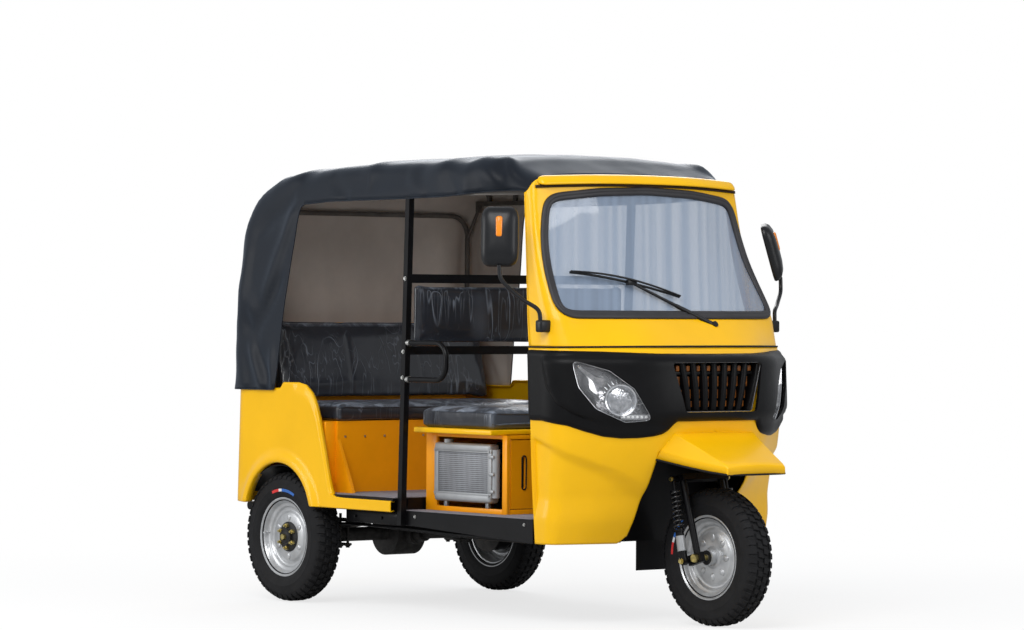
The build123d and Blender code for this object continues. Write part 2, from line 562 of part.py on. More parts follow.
def cowl_solid(inset, low=0, top=0):
    """The cowl's filled shape inset from its skin; low and top lower its ends."""
    faces = []
    for row in COWL:
        z = row[0]
        if row is COWL[0]:
            z -= low
        if row is COWL[-1]:
            z -= top
        faces.append(cowl_section(row, inset, z))
    return loft(faces, ruled=True)


cowl_skin = cowl_solid(0)
cowl_shell = cowl_skin - cowl_solid(COWL_WALL, low=1, top=HEADER_CROWN + 25)
arch_top = HEADER_Z + HEADER_CROWN
crown = make_face(Polyline((0, 600, HEADER_Z), (0, 640, 0), (0, -640, 0), (0, -600, HEADER_Z))
                  + ThreePointArc((0, -600, HEADER_Z), (0, 0, arch_top), (0, 600, HEADER_Z)))
cowl_shell &= extrude(crown, amount=3 * WHEELBASE, dir=(1, 0, 0))

# screen opening: the side view slopes back, the front view has rounded corners and an arched head
SCREEN_SIDE = [(-307, 1212), (-445, 1466), (-511, 1690), (-511, 1765), (0, 1765), (0, 1212)]
screen_side = side_prism([(WHEELBASE + x, z) for x, z in SCREEN_SIDE], (-BODY_HALF, BODY_HALF))


def screen_front(inset):
    """Front view of the screen opening."""
    low, head, crown_z = 1212 + inset, 1700 - inset, 1740 - inset
    foot_y, head_y = 604 - inset, 500 - inset
    corner = 70
    return front_prism([(-foot_y, low), (foot_y, low), (head_y, head), (0, crown_z), (-head_y, head)],
                       (WHEELBASE - 700, WHEELBASE), [corner, corner, corner, 900, corner])


seal_zone = screen_side & screen_front(0)
SEAL_SIDE_WIDTH = 24        # seen from the side
screen_inner = side_prism([(WHEELBASE + x + SEAL_SIDE_WIDTH, z) for x, z in SCREEN_SIDE],
                          (-BODY_HALF, BODY_HALF))
glass_zone = screen_inner & screen_front(SEAL_WIDTH)
surround = cowl_shell & span((0, 2 * WHEELBASE), (-BODY_HALF, BODY_HALF), (SEAM_Z + SEAM_GAP, 2000))
# rain lip: columns y, z of its lower edge, seen from the front
LIP_OUT_X = 26
LIP_HEIGHT = 26
LIP_LOW = [(-520, 1736), (-260, 1748), (260, 1748), (520, 1736)]
lip_front = front_prism(LIP_LOW + [(y, z + LIP_HEIGHT) for y, z in reversed(LIP_LOW)],
                        (WHEELBASE - 525, WHEELBASE), [0, 400, 400, 0, 0, 400, 400, 0])
rain_lip = (cowl_solid(-LIP_OUT_X) - cowl_solid(COWL_WALL / 2)) & lip_front
nodes["screen_surround"] = surround - seal_zone + rain_lip
seal = (surround & seal_zone) - glass_zone
nodes["screen_seal"] = max(seal.solids(), key=lambda piece: piece.volume)
glass_shell = cowl_solid(GLASS_WALL) - cowl_solid(2 * GLASS_WALL, low=-2, top=-2)
nodes["windscreen"] = glass_shell & glass_zone

lower = cowl_shell & span((0, 2 * WHEELBASE), (-BODY_HALF, BODY_HALF), (0, SEAM_Z))
# front wheel opening in side view
WELL_SIDE = [(WELL_REAR_DX, COWL_LOW_Z - 9), (WELL_REAR_DX, WELL_TOP_Z), (90, WELL_TOP_Z),
             (90, COWL_LOW_Z - 9)]
well_hole = side_prism([(WHEELBASE + x, z) for x, z in WELL_SIDE], (-WELL_HALF, WELL_HALF))
lower -= well_hole
# black nose panel in side view, and the block of body colour above the fender
NOSE_SIDE = [(-470, 1079), (40, 1061), (40, 772), (-47, 769), (-170, 753), (-429, 819), (-470, 829)]
NOSE_STEP_HALF = 218
NOSE_STEP_Z = 820
nose_zone = side_prism([(WHEELBASE + x, z) for x, z in NOSE_SIDE], (-BODY_HALF, BODY_HALF))
nose_zone -= span((WHEELBASE - 150, WHEELBASE + 60), (-NOSE_STEP_HALF, NOSE_STEP_HALF), (700, NOSE_STEP_Z))
nodes["lower_cowl"] = lower - nose_zone
nose = lower & nose_zone

# headlamps, outlined on the slanting face beside the nose: columns along the face from its outer end, z
LAMP_FACE = COWL[2]
LAMP_OUTLINE = [(108, 1026), (215, 985), (300, 920), (372, 815), (268, 812), (170, 860), (118, 930)]
face_run = Vector(LAMP_FACE[5] - LAMP_FACE[3], LAMP_FACE[6] - LAMP_FACE[2], 0).normalized()
face_out = Vector(-face_run.Y, face_run.X, 0)
lamp_start = Vector(WHEELBASE + LAMP_FACE[3], LAMP_FACE[2], 0)
lamp_points = []
for run, z in LAMP_OUTLINE:
    spot = lamp_start + face_run * run - face_out * 90
    lamp_points.append((spot.X, spot.Y, z))
lamp_block = extrude(outline(lamp_points, [18] * len(lamp_points)), amount=150, dir=tuple(face_out))
lamp_hollow = cowl_solid(COWL_WALL + 25)
lamp_solid = (lamp_block & cowl_skin) - lamp_hollow
nodes["headlamps"] = both(lamp_solid)
nose -= lamp_block
nose -= mirror(lamp_block, about=Plane.XZ)

GRILLE_TOP = (238, 1041)
GRILLE_LOW = (188, 846)
grille_hole = front_prism([(-GRILLE_TOP[0], GRILLE_TOP[1]), (GRILLE_TOP[0], GRILLE_TOP[1]),
                           (GRILLE_LOW[0], GRILLE_LOW[1]), (-GRILLE_LOW[0], GRILLE_LOW[1])],
                          (WHEELBASE - 120, WHEELBASE + 60), [15] * 4)
nodes["nose_panel"] = nose - grille_hole
SLATS = 7
SLAT_WIDTH = 30
SLAT_DEPTH = 14
grille_x = WHEELBASE + COWL[3][5] - COWL_WALL
grille = span((grille_x - 6, grille_x), (-GRILLE_TOP[0], GRILLE_TOP[0]),
              (GRILLE_LOW[1] - 12, GRILLE_TOP[1] + 8))
for slot_index in range(SLATS + 1):
    share = (slot_index + 0.5) / (SLATS + 1) * 2 - 1
    top_y, low_y = share * (GRILLE_TOP[0] - 12), share * (GRILLE_LOW[0] - 4)
    half = SLAT_WIDTH / 2 - 4
    grille -= front_prism([(top_y - half, GRILLE_TOP[1] - 12), (top_y + half, GRILLE_TOP[1] - 12),
                           (low_y + half, GRILLE_LOW[1] + 12), (low_y - half, GRILLE_LOW[1] + 12)],
                          (grille_x - 60, grille_x + 60))
nodes["grille"] = grille - (cowl_skin - cowl_solid(COWL_WALL))

# ---------------------------------------------------------------- fender over the front wheel
# columns: x from the front axle, half width low, z low, half width of the ridge, z of the ridge
FENDER = [(-117, 262, 655, 236, 806), (235, 139, 608, 137, 640)]
FENDER_WALL = 6


def fender_solid(inset):
    faces = []
    for dx, low_half, low_z, top_half, top_z in FENDER:
        reach = WHEELBASE + dx + (-inset if dx > 0 else -1 if inset else 0)
        drop = 60 if inset else 0
        half = [(reach, -low_half + inset, low_z - drop), (reach, -top_half + inset, top_z - inset)]
        faces.append(outline(half + [(x, -y, z) for x, y, z in reversed(half)]))
    return loft(faces, ruled=True)


nodes["front_fender"] = fender_solid(0) - fender_solid(FENDER_WALL) - cowl_skin

# ---------------------------------------------------------------- inner front structure
well_x = WHEELBASE + WELL_REAR_DX
steering_frame = Pos(WHEELBASE, 0, TYRE_R) * Rot(0, -RAKE, 0)


def along_axis(at):
    """Point on the steering axis at a distance from the front axle."""
    return (WHEELBASE - at * sin(radians(RAKE)), 0, TYRE_R + at * cos(radians(RAKE)))


WELL_CHEEK = [(WELL_REAR_DX, COWL_LOW_Z), (-282, COWL_LOW_Z), (-120, 575), (-40, WELL_TOP_Z),
              (WELL_REAR_DX, WELL_TOP_Z)]
well = span((well_x - SHEET, well_x), (-WELL_HALF, WELL_HALF), (COWL_LOW_Z, WELL_TOP_Z + SHEET))
well += span((well_x, WHEELBASE - 45), (-WELL_HALF, WELL_HALF), (WELL_TOP_Z, WELL_TOP_Z + SHEET))
cheek = side_prism([(WHEELBASE + x, z) for x, z in WELL_CHEEK], (WELL_HALF - SHEET, WELL_HALF))
well += cheek + mirror(cheek, about=Plane.XZ)
well += rod(along_axis(HEAD_TUBE_AT), along_axis(HEAD_TUBE_AT + HEAD_TUBE_LENGTH), HEAD_TUBE_R)
well -= rod(along_axis(HEAD_TUBE_AT - 5), along_axis(HEAD_TUBE_AT + HEAD_TUBE_LENGTH + 5), STEM_R + GAP)
inside_cowl = cowl_solid(COWL_WALL + 1)
nodes["wheel_well"] = well & inside_cowl
nodes["floor_pan"] &= inside_cowl + span((-WHEELBASE, WHEELBASE - 430), (-BODY_HALF, BODY_HALF), (0, 1000))

BULKHEAD_TOP_Z = 900
BULKHEAD_WALL = 8
bulkhead = span((well_x - SHEET - BULKHEAD_WALL, well_x - SHEET), (-560, 560), (FRONT_FLOOR_Z, BULKHEAD_TOP_Z))
nodes["front_bulkhead"] = bulkhead & inside_cowl
dash = side_prism([(WHEELBASE - 325, SEAM_Z - 7), (WHEELBASE - 40, SEAM_Z - 7), (WHEELBASE - 150, 1196),
                   (WHEELBASE - 290, 1196), (WHEELBASE - 325, 1160)], (-BODY_HALF, BODY_HALF))
nodes["dashboard"] = dash & inside_cowl

flap = span((well_x - SHEET, well_x), (-120, 120), (205, COWL_LOW_Z))
nodes["front_mud_flap"] = flap

# ---------------------------------------------------------------- steering
on_foot = (Align.CENTER, Align.CENTER, Align.MIN)
fork = Pos(0, 0, CROWN_AT) * Box(50, 2 * FORK_HALF + 36, CROWN_WALL, align=on_foot)
fork += Pos(0, 0, CROWN_AT) * Cylinder(STEM_R, BAR_AT - CROWN_AT, align=on_foot)
fork += Pos(0, 0, BAR_AT) * Box(44, 70, 40)
for side in SIDES:
    leg = Cylinder(FORK_LEG_R, CROWN_AT + 4 - LEG_FOOT_AT, align=on_foot)
    leg = Pos(0, side * FORK_HALF, LEG_FOOT_AT) * leg
    lug = Pos(-12, side * FORK_HALF, 0) * Box(76, LUG_WALL, 40)
    fork += leg + lug
nodes["front_fork"] = steering_frame * fork

axle_bolt = rod((0, -FORK_HALF + LUG_WALL / 2, 0), (0, FORK_HALF - LUG_WALL / 2, 0), FRONT_AXLE_R)
nuts = []
for side in SIDES:
    nut_in = side * (FORK_HALF + LUG_WALL / 2)
    nut = extrude(Plane(origin=(0, nut_in, 0), z_dir=(0, side, 0)) * RegularPolygon(17, 6), amount=16)
    nuts.append(nut)
nodes["front_axle"] = [steering_frame * piece for piece in (axle_bolt, *nuts)]

STRUT_Y = 138
STRUT_ROD_R = 9
STRUT_SPRING_R = 21
STRUT_X = (-44, -12)        # foot and head, from the steering axis
STRUT_TOP = 300             # along the axis
STRUT_SPRING = (60, 270)
PIN_R = 8
PIN_AT = STRUT_TOP + 25     # the upper pin, in the fork's crown
foot_x, head_x = STRUT_X
struts = []
for side in SIDES:
    strut = rod((foot_x, side * STRUT_Y, 0), (head_x, side * STRUT_Y, STRUT_TOP), STRUT_ROD_R)
    strut += rod((foot_x + 2, side * STRUT_Y, STRUT_SPRING[0]), (head_x - 2, side * STRUT_Y, STRUT_SPRING[1]),
                 STRUT_SPRING_R)
    strut += rod((foot_x, side * (FORK_HALF + LUG_WALL / 2), 0), (foot_x, side * (STRUT_Y + 14), 0), PIN_R)
    pin_ends = [(head_x, side * y, PIN_AT) for y in (FORK_HALF + 18, STRUT_Y + 12)]
    strut += rod(*pin_ends, STRUT_ROD_R)
    strut += rod((head_x, side * STRUT_Y, STRUT_TOP), (head_x, side * STRUT_Y, PIN_AT), STRUT_ROD_R)
    struts.append(strut)
nodes["front_struts"] = [steering_frame * piece for piece in struts]

bar_centre = Vector(*along_axis(BAR_AT))
GRIP_OUT = 320
BAR_BEND_Y = 225
# right half of the bar: columns back from its middle, y, rise
BAR_HALF_LINE = [(155, GRIP_OUT, 26), (60, BAR_BEND_Y, 22), (0, 90, 0)]
bar_points = [(bar_centre.X - back, -y, bar_centre.Z + rise) for back, y, rise in BAR_HALF_LINE]
bar_points += [(x, -y, z) for x, y, z in reversed(bar_points)]
handlebar = tube(bar_points, [60, 60, 60, 60], BAR_R)
nodes["front_fork"] -= handlebar
for start, toward in ((bar_points[0], bar_points[1]), (bar_points[-1], bar_points[-2])):
    run = (Vector(*toward) - Vector(*start)).normalized()
    outer = Vector(*start) - run * 4
    inner_end = Vector(*start) + run * (GRIP_LENGTH - 20)
    handlebar += rod(tuple(outer), tuple(inner_end), GRIP_R)
nodes["handlebar"] = handlebar

# ---------------------------------------------------------------- roof frame and canopy
ROOF_RAIL_Z = (1700, 1720)
ROOF_RAIL_Y = (576, 596)
ROOF_RAIL_BEND_X = 1250
ROOF_RAIL_FRONT = (1500, 490)
HOOP_X = -270
HOOP_TOP_Z = 1655
ROOF_RAIL_REAR_X = -195
# bows: columns x, z of the top, half width
BOWS = [(-110, 1765, 586), (70, 1780, 586), (560, 1796, 586), (1050, 1796, 586)]
rail_in, rail_out = ROOF_RAIL_Y
rail_end_x, rail_end_y = ROOF_RAIL_FRONT
rail_plan = [(ROOF_RAIL_REAR_X, rail_in), (ROOF_RAIL_BEND_X, rail_in), (rail_end_x, rail_end_y),
             (rail_end_x, rail_end_y + rail_out - rail_in), (ROOF_RAIL_BEND_X, rail_out),
             (ROOF_RAIL_REAR_X, rail_out)]
roof_rails = both(plan_prism(rail_plan, ROOF_RAIL_Z) - cowl_skin)
bows = [tube([(x, -half, ROOF_RAIL_Z[1]), (x, -half, top), (x, half, top), (x, half, ROOF_RAIL_Z[1])],
             [40, 40], TUBE_R) for x, top, half in BOWS]
hoop_foot_z = TUB_TOP_Z + 1
hoop = tube([(HOOP_X, -590, hoop_foot_z), (HOOP_X, -590, HOOP_TOP_Z), (HOOP_X, 590, HOOP_TOP_Z),
             (HOOP_X, 590, hoop_foot_z)], [90, 90], TUBE_R)
rail_middle = (rail_in + rail_out) / 2
for side in SIDES:
    hoop += rod((HOOP_X, side * rail_middle, HOOP_TOP_Z - 110),
                (ROOF_RAIL_REAR_X + 10, side * rail_middle, ROOF_RAIL_Z[0] - 15), 8)
    hoop += span((ROOF_RAIL_REAR_X, ROOF_RAIL_REAR_X + 20), (side * rail_middle - 10, side * rail_middle + 10),
                 (ROOF_RAIL_Z[0] - 30, ROOF_RAIL_Z[0]))
nodes["roof_frame"] = roof_rails + bows + [hoop]

# side view of the canopy's outer skin: columns x, z, corner radius
CANOPY_SIDE = [(-359, CANOPY_HEM_Z, 0), (-356, 1150, 150), (-318, 1330, 150), (-312, 1640, 110),
               (-190, 1775, 160), (40, 1836, 200), (280, 1868, 300), (1330, CANOPY_TOP_Z - 6, 60),
               (1512, 1776, 0), (1512, CANOPY_HEM_Z, 0)]
CANOPY_SHOULDER_Z = 1845
# side openings: columns x, z
CANOPY_OPENING = [(-53, CANOPY_HEM_Z - 9), (-29, 1133), (27, 1458), (72, 1682), (554, 1692), (1267, 1711),
                  (1600, 1722), (1600, CANOPY_HEM_Z - 9)]


def canopy_solid(inset, drop):
    """The canopy's filled shape inset from its skin; drop lowers its open underside."""
    side_points = []
    for index, (x, z, r) in enumerate(CANOPY_SIDE):
        low = z == CANOPY_HEM_Z
        move = inset if x < 1400 else 0
        roof_inset = inset if x >= -190 else 0
        side_points.append((x + (move if x < 0 else 0), z - drop if low else z - roof_inset))
    body = side_prism(side_points, (-900, 900), [r for x, z, r in CANOPY_SIDE])
    half = CANOPY_HALF - inset
    top = CANOPY_TOP_Z - inset
    shoulder = CANOPY_SHOULDER_Z - inset
    # half section from the hem to the crown: columns y, z, bend radius
    section = [(half, CANOPY_HEM_Z - drop, 0), (half, 1250, 300), (half - 26, 1660, 200),
               (half - 30, shoulder - 20, 90), (400, top - 16, 700)]
    points = [(y, z) for y, z, r in section]
    bends = [r for y, z, r in section]
    cross = front_prism([(-y, z) for y, z in points] + [(0, top)] + points[::-1],
                        (-900, 2200), bends + [700] + bends[::-1])
    corner = 100 - inset
    plan = plan_prism([(-359 + inset, -half), (-359 + inset, half), (1200, half), (1512, 556 - inset),
                       (1512, -556 + inset), (1200, -half)], (CANOPY_HEM_Z - drop, 2000),
                      [corner, corner, 200, 0, 0, 200])
    return body & cross & plan


canopy = canopy_solid(0, 0) - canopy_solid(CANOPY_WALL, 1)
canopy -= side_prism(CANOPY_OPENING, (-BODY_HALF - 50, BODY_HALF + 50))
nodes["canopy"] = canopy - cowl_skin - Compound(both(post))

# ---------------------------------------------------------------- mirrors and wiper
MIRROR_AT = (1575, 735, 1531)
MIRROR_SIZE = (44, 132, 238)
MIRROR_SWEEP = 45
housing = fillet(Box(*MIRROR_SIZE).edges().filter_by(Axis.X), 30)
housing = Pos(*MIRROR_AT) * Rot(0, 0, MIRROR_SWEEP) * housing
arm_foot = (1655, 598, 1165)
mirror_low = (MIRROR_AT[0], MIRROR_AT[1], MIRROR_AT[2] - MIRROR_SIZE[2] / 2 + 5)
arm = tube([mirror_low, (MIRROR_AT[0], MIRROR_AT[1], mirror_low[2] - 70), (arm_foot[0] - 10, 650, 1262),
            (arm_foot[0], 630, 1165)], [35, 40], 8)
arm += rod((arm_foot[0], 640, 1165), (arm_foot[0], 590, 1165), 20)
nodes["mirrors"] = both(housing + arm - cowl_skin)

wiper_pivot = (1852, 150, 1186)
wiper_tip = (1764, -215, 1354)
blade = [(1692, -470, 1394), (1757, -255, 1362), (1792, 20, 1300)]
wiper = rod(wiper_pivot, wiper_tip, 6) + tube(blade, 300, 7)
wiper += rod((1815, 150, 1172), (1862, 150, 1190), 14)
nodes["wiper"] = wiper - cowl_skin

# ---------------------------------------------------------------- output
ORIGIN_X = (REAR_OVERHANG - WHEELBASE - TYRE_R) / 2
os.makedirs("parts", exist_ok=True)
for node, shape in nodes.items():
    pieces = shape if isinstance(shape, list) else [shape]
    solids = [Pos(ORIGIN_X, 0, 0) * solid for piece in pieces for solid in piece.solids()]
    export_step(solids[0] if len(solids) == 1 else Compound(solids), f"parts/{node}.step")
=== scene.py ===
# A three-wheeled passenger rickshaw: yellow cab and tub, black soft hood, wrapped bench seats.
# Metres. +X forward, +Y to the vehicle's left, +Z up. Sections follow the vehicle as it is put together.
import bmesh
import bpy
from math import atan2, cos, exp, pi, radians, sin, sqrt
from mathutils import Matrix, Vector, noise
from mathutils.bvhtree import BVHTree


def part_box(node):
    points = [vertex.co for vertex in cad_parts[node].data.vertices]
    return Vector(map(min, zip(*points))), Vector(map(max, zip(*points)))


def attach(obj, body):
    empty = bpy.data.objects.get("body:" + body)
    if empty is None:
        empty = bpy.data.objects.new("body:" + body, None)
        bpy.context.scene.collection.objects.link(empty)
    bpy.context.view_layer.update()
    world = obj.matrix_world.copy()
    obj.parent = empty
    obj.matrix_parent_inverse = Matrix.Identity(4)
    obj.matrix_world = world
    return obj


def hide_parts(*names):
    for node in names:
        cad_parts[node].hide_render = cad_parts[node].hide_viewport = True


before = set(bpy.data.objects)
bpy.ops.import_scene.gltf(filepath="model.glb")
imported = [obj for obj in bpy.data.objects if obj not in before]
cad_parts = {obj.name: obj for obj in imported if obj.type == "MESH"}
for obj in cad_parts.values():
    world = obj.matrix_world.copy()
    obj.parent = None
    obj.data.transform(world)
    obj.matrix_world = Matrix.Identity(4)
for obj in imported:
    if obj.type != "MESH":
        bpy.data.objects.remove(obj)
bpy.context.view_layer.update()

# ---------------------------------------------------------------- chassis frame
# Square steel tube rails and cross members, brushed with black enamel that has gone dull underneath.
# Welded; the joints carry hexagon bolts where springs, engine and floor are fixed.


def settle(node, **settings):
    """Sets a shader node's input sockets or its fields by name."""
    for name, value in settings.items():
        label = name.replace("_", " ")
        if label in node.inputs:
            node.inputs[label].default_value = value
        elif label.title() in node.inputs:
            node.inputs[label.title()].default_value = value
        else:
            setattr(node, name, value)


def node_value(tree, kind, **settings):
    """Adds a shader node with its settings."""
    node = tree.nodes.new("ShaderNode" + kind)
    settle(node, **settings)
    return node


def wire(tree, *links):
    """Links shader nodes; each link reads: node, its output, node, its input."""
    for source, output, target, entry in links:
        tree.links.new(source.outputs[output], target.inputs[entry])


def new_finish(name):
    """A new material with its shader tree and main shader."""
    finish = bpy.data.materials.new(name)
    finish.use_nodes = True
    return finish, finish.node_tree, finish.node_tree.nodes["Principled BSDF"]


def placed(name, data):
    """An object in the scene."""
    piece = bpy.data.objects.new(name, data)
    bpy.context.scene.collection.objects.link(piece)
    return piece


def baked(name, mesh):
    """Mesh data from a mesh being built, which is freed."""
    data = bpy.data.meshes.new(name)
    mesh.to_mesh(data)
    mesh.free()
    return data


def rear(x, y, z):
    """A point whose x is measured from the rear axle."""
    return Vector((REAR_X + x, y, z))


def normals_out(mesh):
    bmesh.ops.recalc_face_normals(mesh, faces=mesh.faces)


def surface(name, colour, rough, metal=0.0, coat=0.0, mottle=(0.12, 6.0), grain=(0.0, 400.0),
            rough_spread=0.08, sheen=0.0, alpha=1.0, shine=0.3, dust=None):
    """A finish with a slow change of colour, a worn roughness and a fine grain in its relief."""
    finish, tree, shader = new_finish(name)
    (mottle, mottle_scale), (grain, grain_scale) = mottle, grain
    settle(shader, Metallic=metal, Coat_Weight=coat, Coat_Roughness=0.08, Sheen_Weight=sheen,
           Specular_IOR_Level=shine, Alpha=alpha)
    place = node_value(tree, "TexCoord")
    cloud = node_value(tree, "TexNoise", Scale=mottle_scale, Detail=5.0, Roughness=0.6)
    wire(tree, (place, "Object", cloud, "Vector"))
    tint = node_value(tree, "ValToRGB")
    dark = [c * (1 - mottle) for c in colour]
    light = [min(1.0, c * (1 + mottle)) for c in colour]
    tint.color_ramp.elements[0].position = 0.35
    tint.color_ramp.elements[0].color = (*dark, 1)
    tint.color_ramp.elements[1].position = 0.65
    tint.color_ramp.elements[1].color = (*light, 1)
    wire(tree, (cloud, "Fac", tint, "Fac"))
    colour_out = tint.outputs["Color"]
    if dust:
        colour_out = add_dust(tree, place, colour_out, *dust)
    tree.links.new(colour_out, shader.inputs["Base Color"])
    spread = node_value(tree, "MapRange", To_Min=max(0.02, rough - rough_spread),
                        To_Max=min(1.0, rough + rough_spread))
    wire(tree, (cloud, "Fac", spread, "Value"), (spread, "Result", shader, "Roughness"))
    if grain:
        fine = node_value(tree, "TexNoise", Scale=grain_scale, Detail=3.0)
        wire(tree, (place, "Object", fine, "Vector"))
        relief = node_value(tree, "Bump", Strength=grain, Distance=0.001)
        wire(tree, (fine, "Fac", relief, "Height"), (relief, "Normal", shader, "Normal"))
    return finish


def add_dust(tree, place, colour_out, dust_colour, height, amount):
    """Mixes a dust colour in below a height, patchy along its upper edge."""
    split = node_value(tree, "SeparateXYZ")
    wire(tree, (place, "Object", split, "Vector"))
    fall = node_value(tree, "MapRange", From_Min=0.0, From_Max=height, To_Min=amount, To_Max=0.0)
    wire(tree, (split, "Z", fall, "Value"))
    patch = node_value(tree, "TexNoise", Scale=14.0, Detail=6.0)
    wire(tree, (place, "Object", patch, "Vector"))
    share = node_value(tree, "Math", operation="MULTIPLY")
    wire(tree, (fall, "Result", share, 0), (patch, "Fac", share, 1))
    mix = node_value(tree, "MixRGB", Color2=(*dust_colour, 1))
    wire(tree, (share, "Value", mix, "Fac"))
    tree.links.new(colour_out, mix.inputs["Color1"])
    return mix.outputs["Color"]


def paint(finish, *names):
    """Gives a construction piece its finish."""
    for name in names:
        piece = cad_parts[name]
        piece.data.materials.clear()
        piece.data.materials.append(finish)


def bar(mesh, start, end, radius, sides=16, end_radius=None):
    """A round bar, or a cone where its ends differ."""
    start, end = Vector(start), Vector(end)
    run = end - start
    turn = run.to_track_quat("Z", "Y").to_matrix().to_4x4()
    place = Matrix.Translation((start + end) / 2) @ turn
    return bmesh.ops.create_cone(mesh, cap_ends=True, segments=sides, radius1=radius,
                                 radius2=radius if end_radius is None else end_radius,
                                 depth=run.length, matrix=place)["verts"]


def bolt(mesh, at, out, size=0.008):
    """A hexagon head on a washer, standing out from a face."""
    at, out = Vector(at), Vector(out).normalized()
    bar(mesh, at - out * 0.001, at + out * size * 0.25, size * 1.35, 20)
    bar(mesh, at, at + out * size * 0.95, size, 6)


def tube(name, points, radius, order=3):
    """A tube's mesh along a smooth line through given points, straight where three lie close."""
    line = bpy.data.curves.new(name, "CURVE")
    line.dimensions = "3D"
    line.bevel_depth = radius
    line.bevel_resolution = 4
    line.resolution_u = 10
    line.use_fill_caps = True
    run = line.splines.new("NURBS")
    run.points.add(len(points) - 1)
    for spot, place in zip(run.points, points):
        spot.co = (*place, 1)
    run.order_u = order
    run.use_endpoint_u = True
    holder = bpy.data.objects.new(name, line)
    made = bpy.data.meshes.new_from_object(holder)
    bpy.data.objects.remove(holder)
    return made


def add_tube(mesh, points, radius, order=3):
    """Adds a tube along given points to a mesh being built."""
    made = tube("tube", points, radius, order)
    mesh.from_mesh(made)
    bpy.data.meshes.remove(made)


def fit(name, mesh, body, finishes, instead_of=(), crease=35, merge=0.0):
    """Finishes a mesh as a piece that rides on a body, in place of construction pieces if named."""
    if merge:
        bmesh.ops.remove_doubles(mesh, verts=mesh.verts, dist=merge)
        normals_out(mesh)
    for face in mesh.faces:
        face.smooth = True
    data = baked(name, mesh)
    for finish in finishes if isinstance(finishes, (list, tuple)) else [finishes]:
        data.materials.append(finish)
    data.set_sharp_from_angle(angle=radians(crease))
    piece = placed(name, data)
    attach(piece, body)
    if instead_of:
        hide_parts(*instead_of)
    return piece


def middle(node):
    low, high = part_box(node)
    return (low + high) / 2


ROAD_DUST = (0.16, 0.145, 0.125)
black_enamel = surface("black enamel", (0.003, 0.003, 0.0038), 0.36, coat=0.08, shine=0.15, mottle=(0.25, 6),
                       grain=(0.05, 260), dust=(ROAD_DUST, 0.5, 0.05))
bright_zinc = surface("bright zinc", (0.52, 0.52, 0.50), 0.3, metal=0.95, mottle=(0.2, 60))
paint(black_enamel, "chassis_frame")

REAR_X = middle("rear_rim_right").x
FRONT_X = middle("front_rim").x
RAIL_MIDDLE_Y = 0.33
RAIL_OUTER_Y = RAIL_MIDDLE_Y + 0.02
mesh = bmesh.new()
for side in (-1, 1):
    for x, z in ((-0.26, 0.415), (-0.02, 0.415), (0.34, 0.415), (0.85, 0.372), (1.10, 0.372), (1.45, 0.372),
                 (1.60, 0.372)):
        bolt(mesh, rear(x, side * RAIL_OUTER_Y, z), (0, side, 0), 0.009)
fit("chassis_bolts", mesh, "body", bright_zinc)

# brake rods and the cable bundle that run below the floor
mesh = bmesh.new()
for y, drop in ((-0.42, 0.0), (-0.36, 0.012), (0.40, 0.0)):
    add_tube(mesh, [rear(0.10, y, 0.33), rear(0.45, y, 0.335 - drop), rear(1.0, y, 0.318 - drop),
                    rear(1.45, y * 0.9, 0.322 - drop), (FRONT_X - 0.36, y * 0.72, 0.335)], 0.006)
fit("brake_rods", mesh, "body", black_enamel)

# ---------------------------------------------------------------- rear axle, springs and drive
# A cast differential with bolted cover, tubes to the drums, three-leaf springs on shackles and a pair
# of dampers. The engine and gearbox stand inside the driver's seat box; the silencer hangs on the left.
WHEEL_Z = middle("rear_rim_right").z
dark_steel = surface("dark steel", (0.045, 0.043, 0.041), 0.55, metal=0.5, mottle=(0.35, 18),
                     grain=(0.35, 180), dust=(ROAD_DUST, 0.6, 0.16))


def block(mesh, low, high, edge=0.0, steps=2):
    """A box from corner to corner, its edges rounded."""
    low, high = Vector(low), Vector(high)
    made = bmesh.ops.create_cube(mesh, size=1.0)["verts"]
    bmesh.ops.scale(mesh, vec=high - low, verts=made)
    bmesh.ops.translate(mesh, vec=(low + high) / 2, verts=made)
    if edge:
        edges = list({e for v in made for e in v.link_edges})
        made = bmesh.ops.bevel(mesh, geom=made + edges, offset=edge, segments=steps, affect="EDGES",
                               profile=0.5, material=-1)["verts"]
    return made


cast_iron = surface("cast iron", (0.052, 0.050, 0.048), 0.62, metal=0.35, mottle=(0.4, 30),
                    grain=(0.6, 120), dust=(ROAD_DUST, 0.6, 0.22))
heat_steel = surface("heat-dulled steel", (0.16, 0.13, 0.105), 0.5, metal=0.8, mottle=(0.4, 12))
paint(cast_iron, "rear_axle", "engine_block")
paint(dark_steel, "rear_suspension", "prop_shaft")
paint(heat_steel, "exhaust")

LEAF_WIDTH = 0.050
SPRING_LEAVES = [(0.20, 0.007), (0.13, 0.014)]     # half length, distance below the main leaf
mesh = bmesh.new()
for side in (-1, 1):
    y = side * RAIL_MIDDLE_Y
    for half, below in SPRING_LEAVES:
        z = WHEEL_Z + 0.031 + 0.022 + below
        block(mesh, rear(-half, y - LEAF_WIDTH / 2, z), rear(half, y + LEAF_WIDTH / 2, z + 0.006), 0.002)
    for x, across in ((-0.045, -0.02), (-0.045, 0.02), (0.045, -0.02), (0.045, 0.02)):
        bar(mesh, rear(x, y + across, WHEEL_Z - 0.045), rear(x, y + across, WHEEL_Z + 0.095), 0.006)
        bolt(mesh, rear(x, y + across, WHEEL_Z - 0.045), (0, 0, -1), 0.009)
    block(mesh, rear(-0.06, y - 0.032, WHEEL_Z - 0.044), rear(0.06, y + 0.032, WHEEL_Z - 0.034), 0.003)
fit("spring_clamps", mesh, "body", dark_steel)

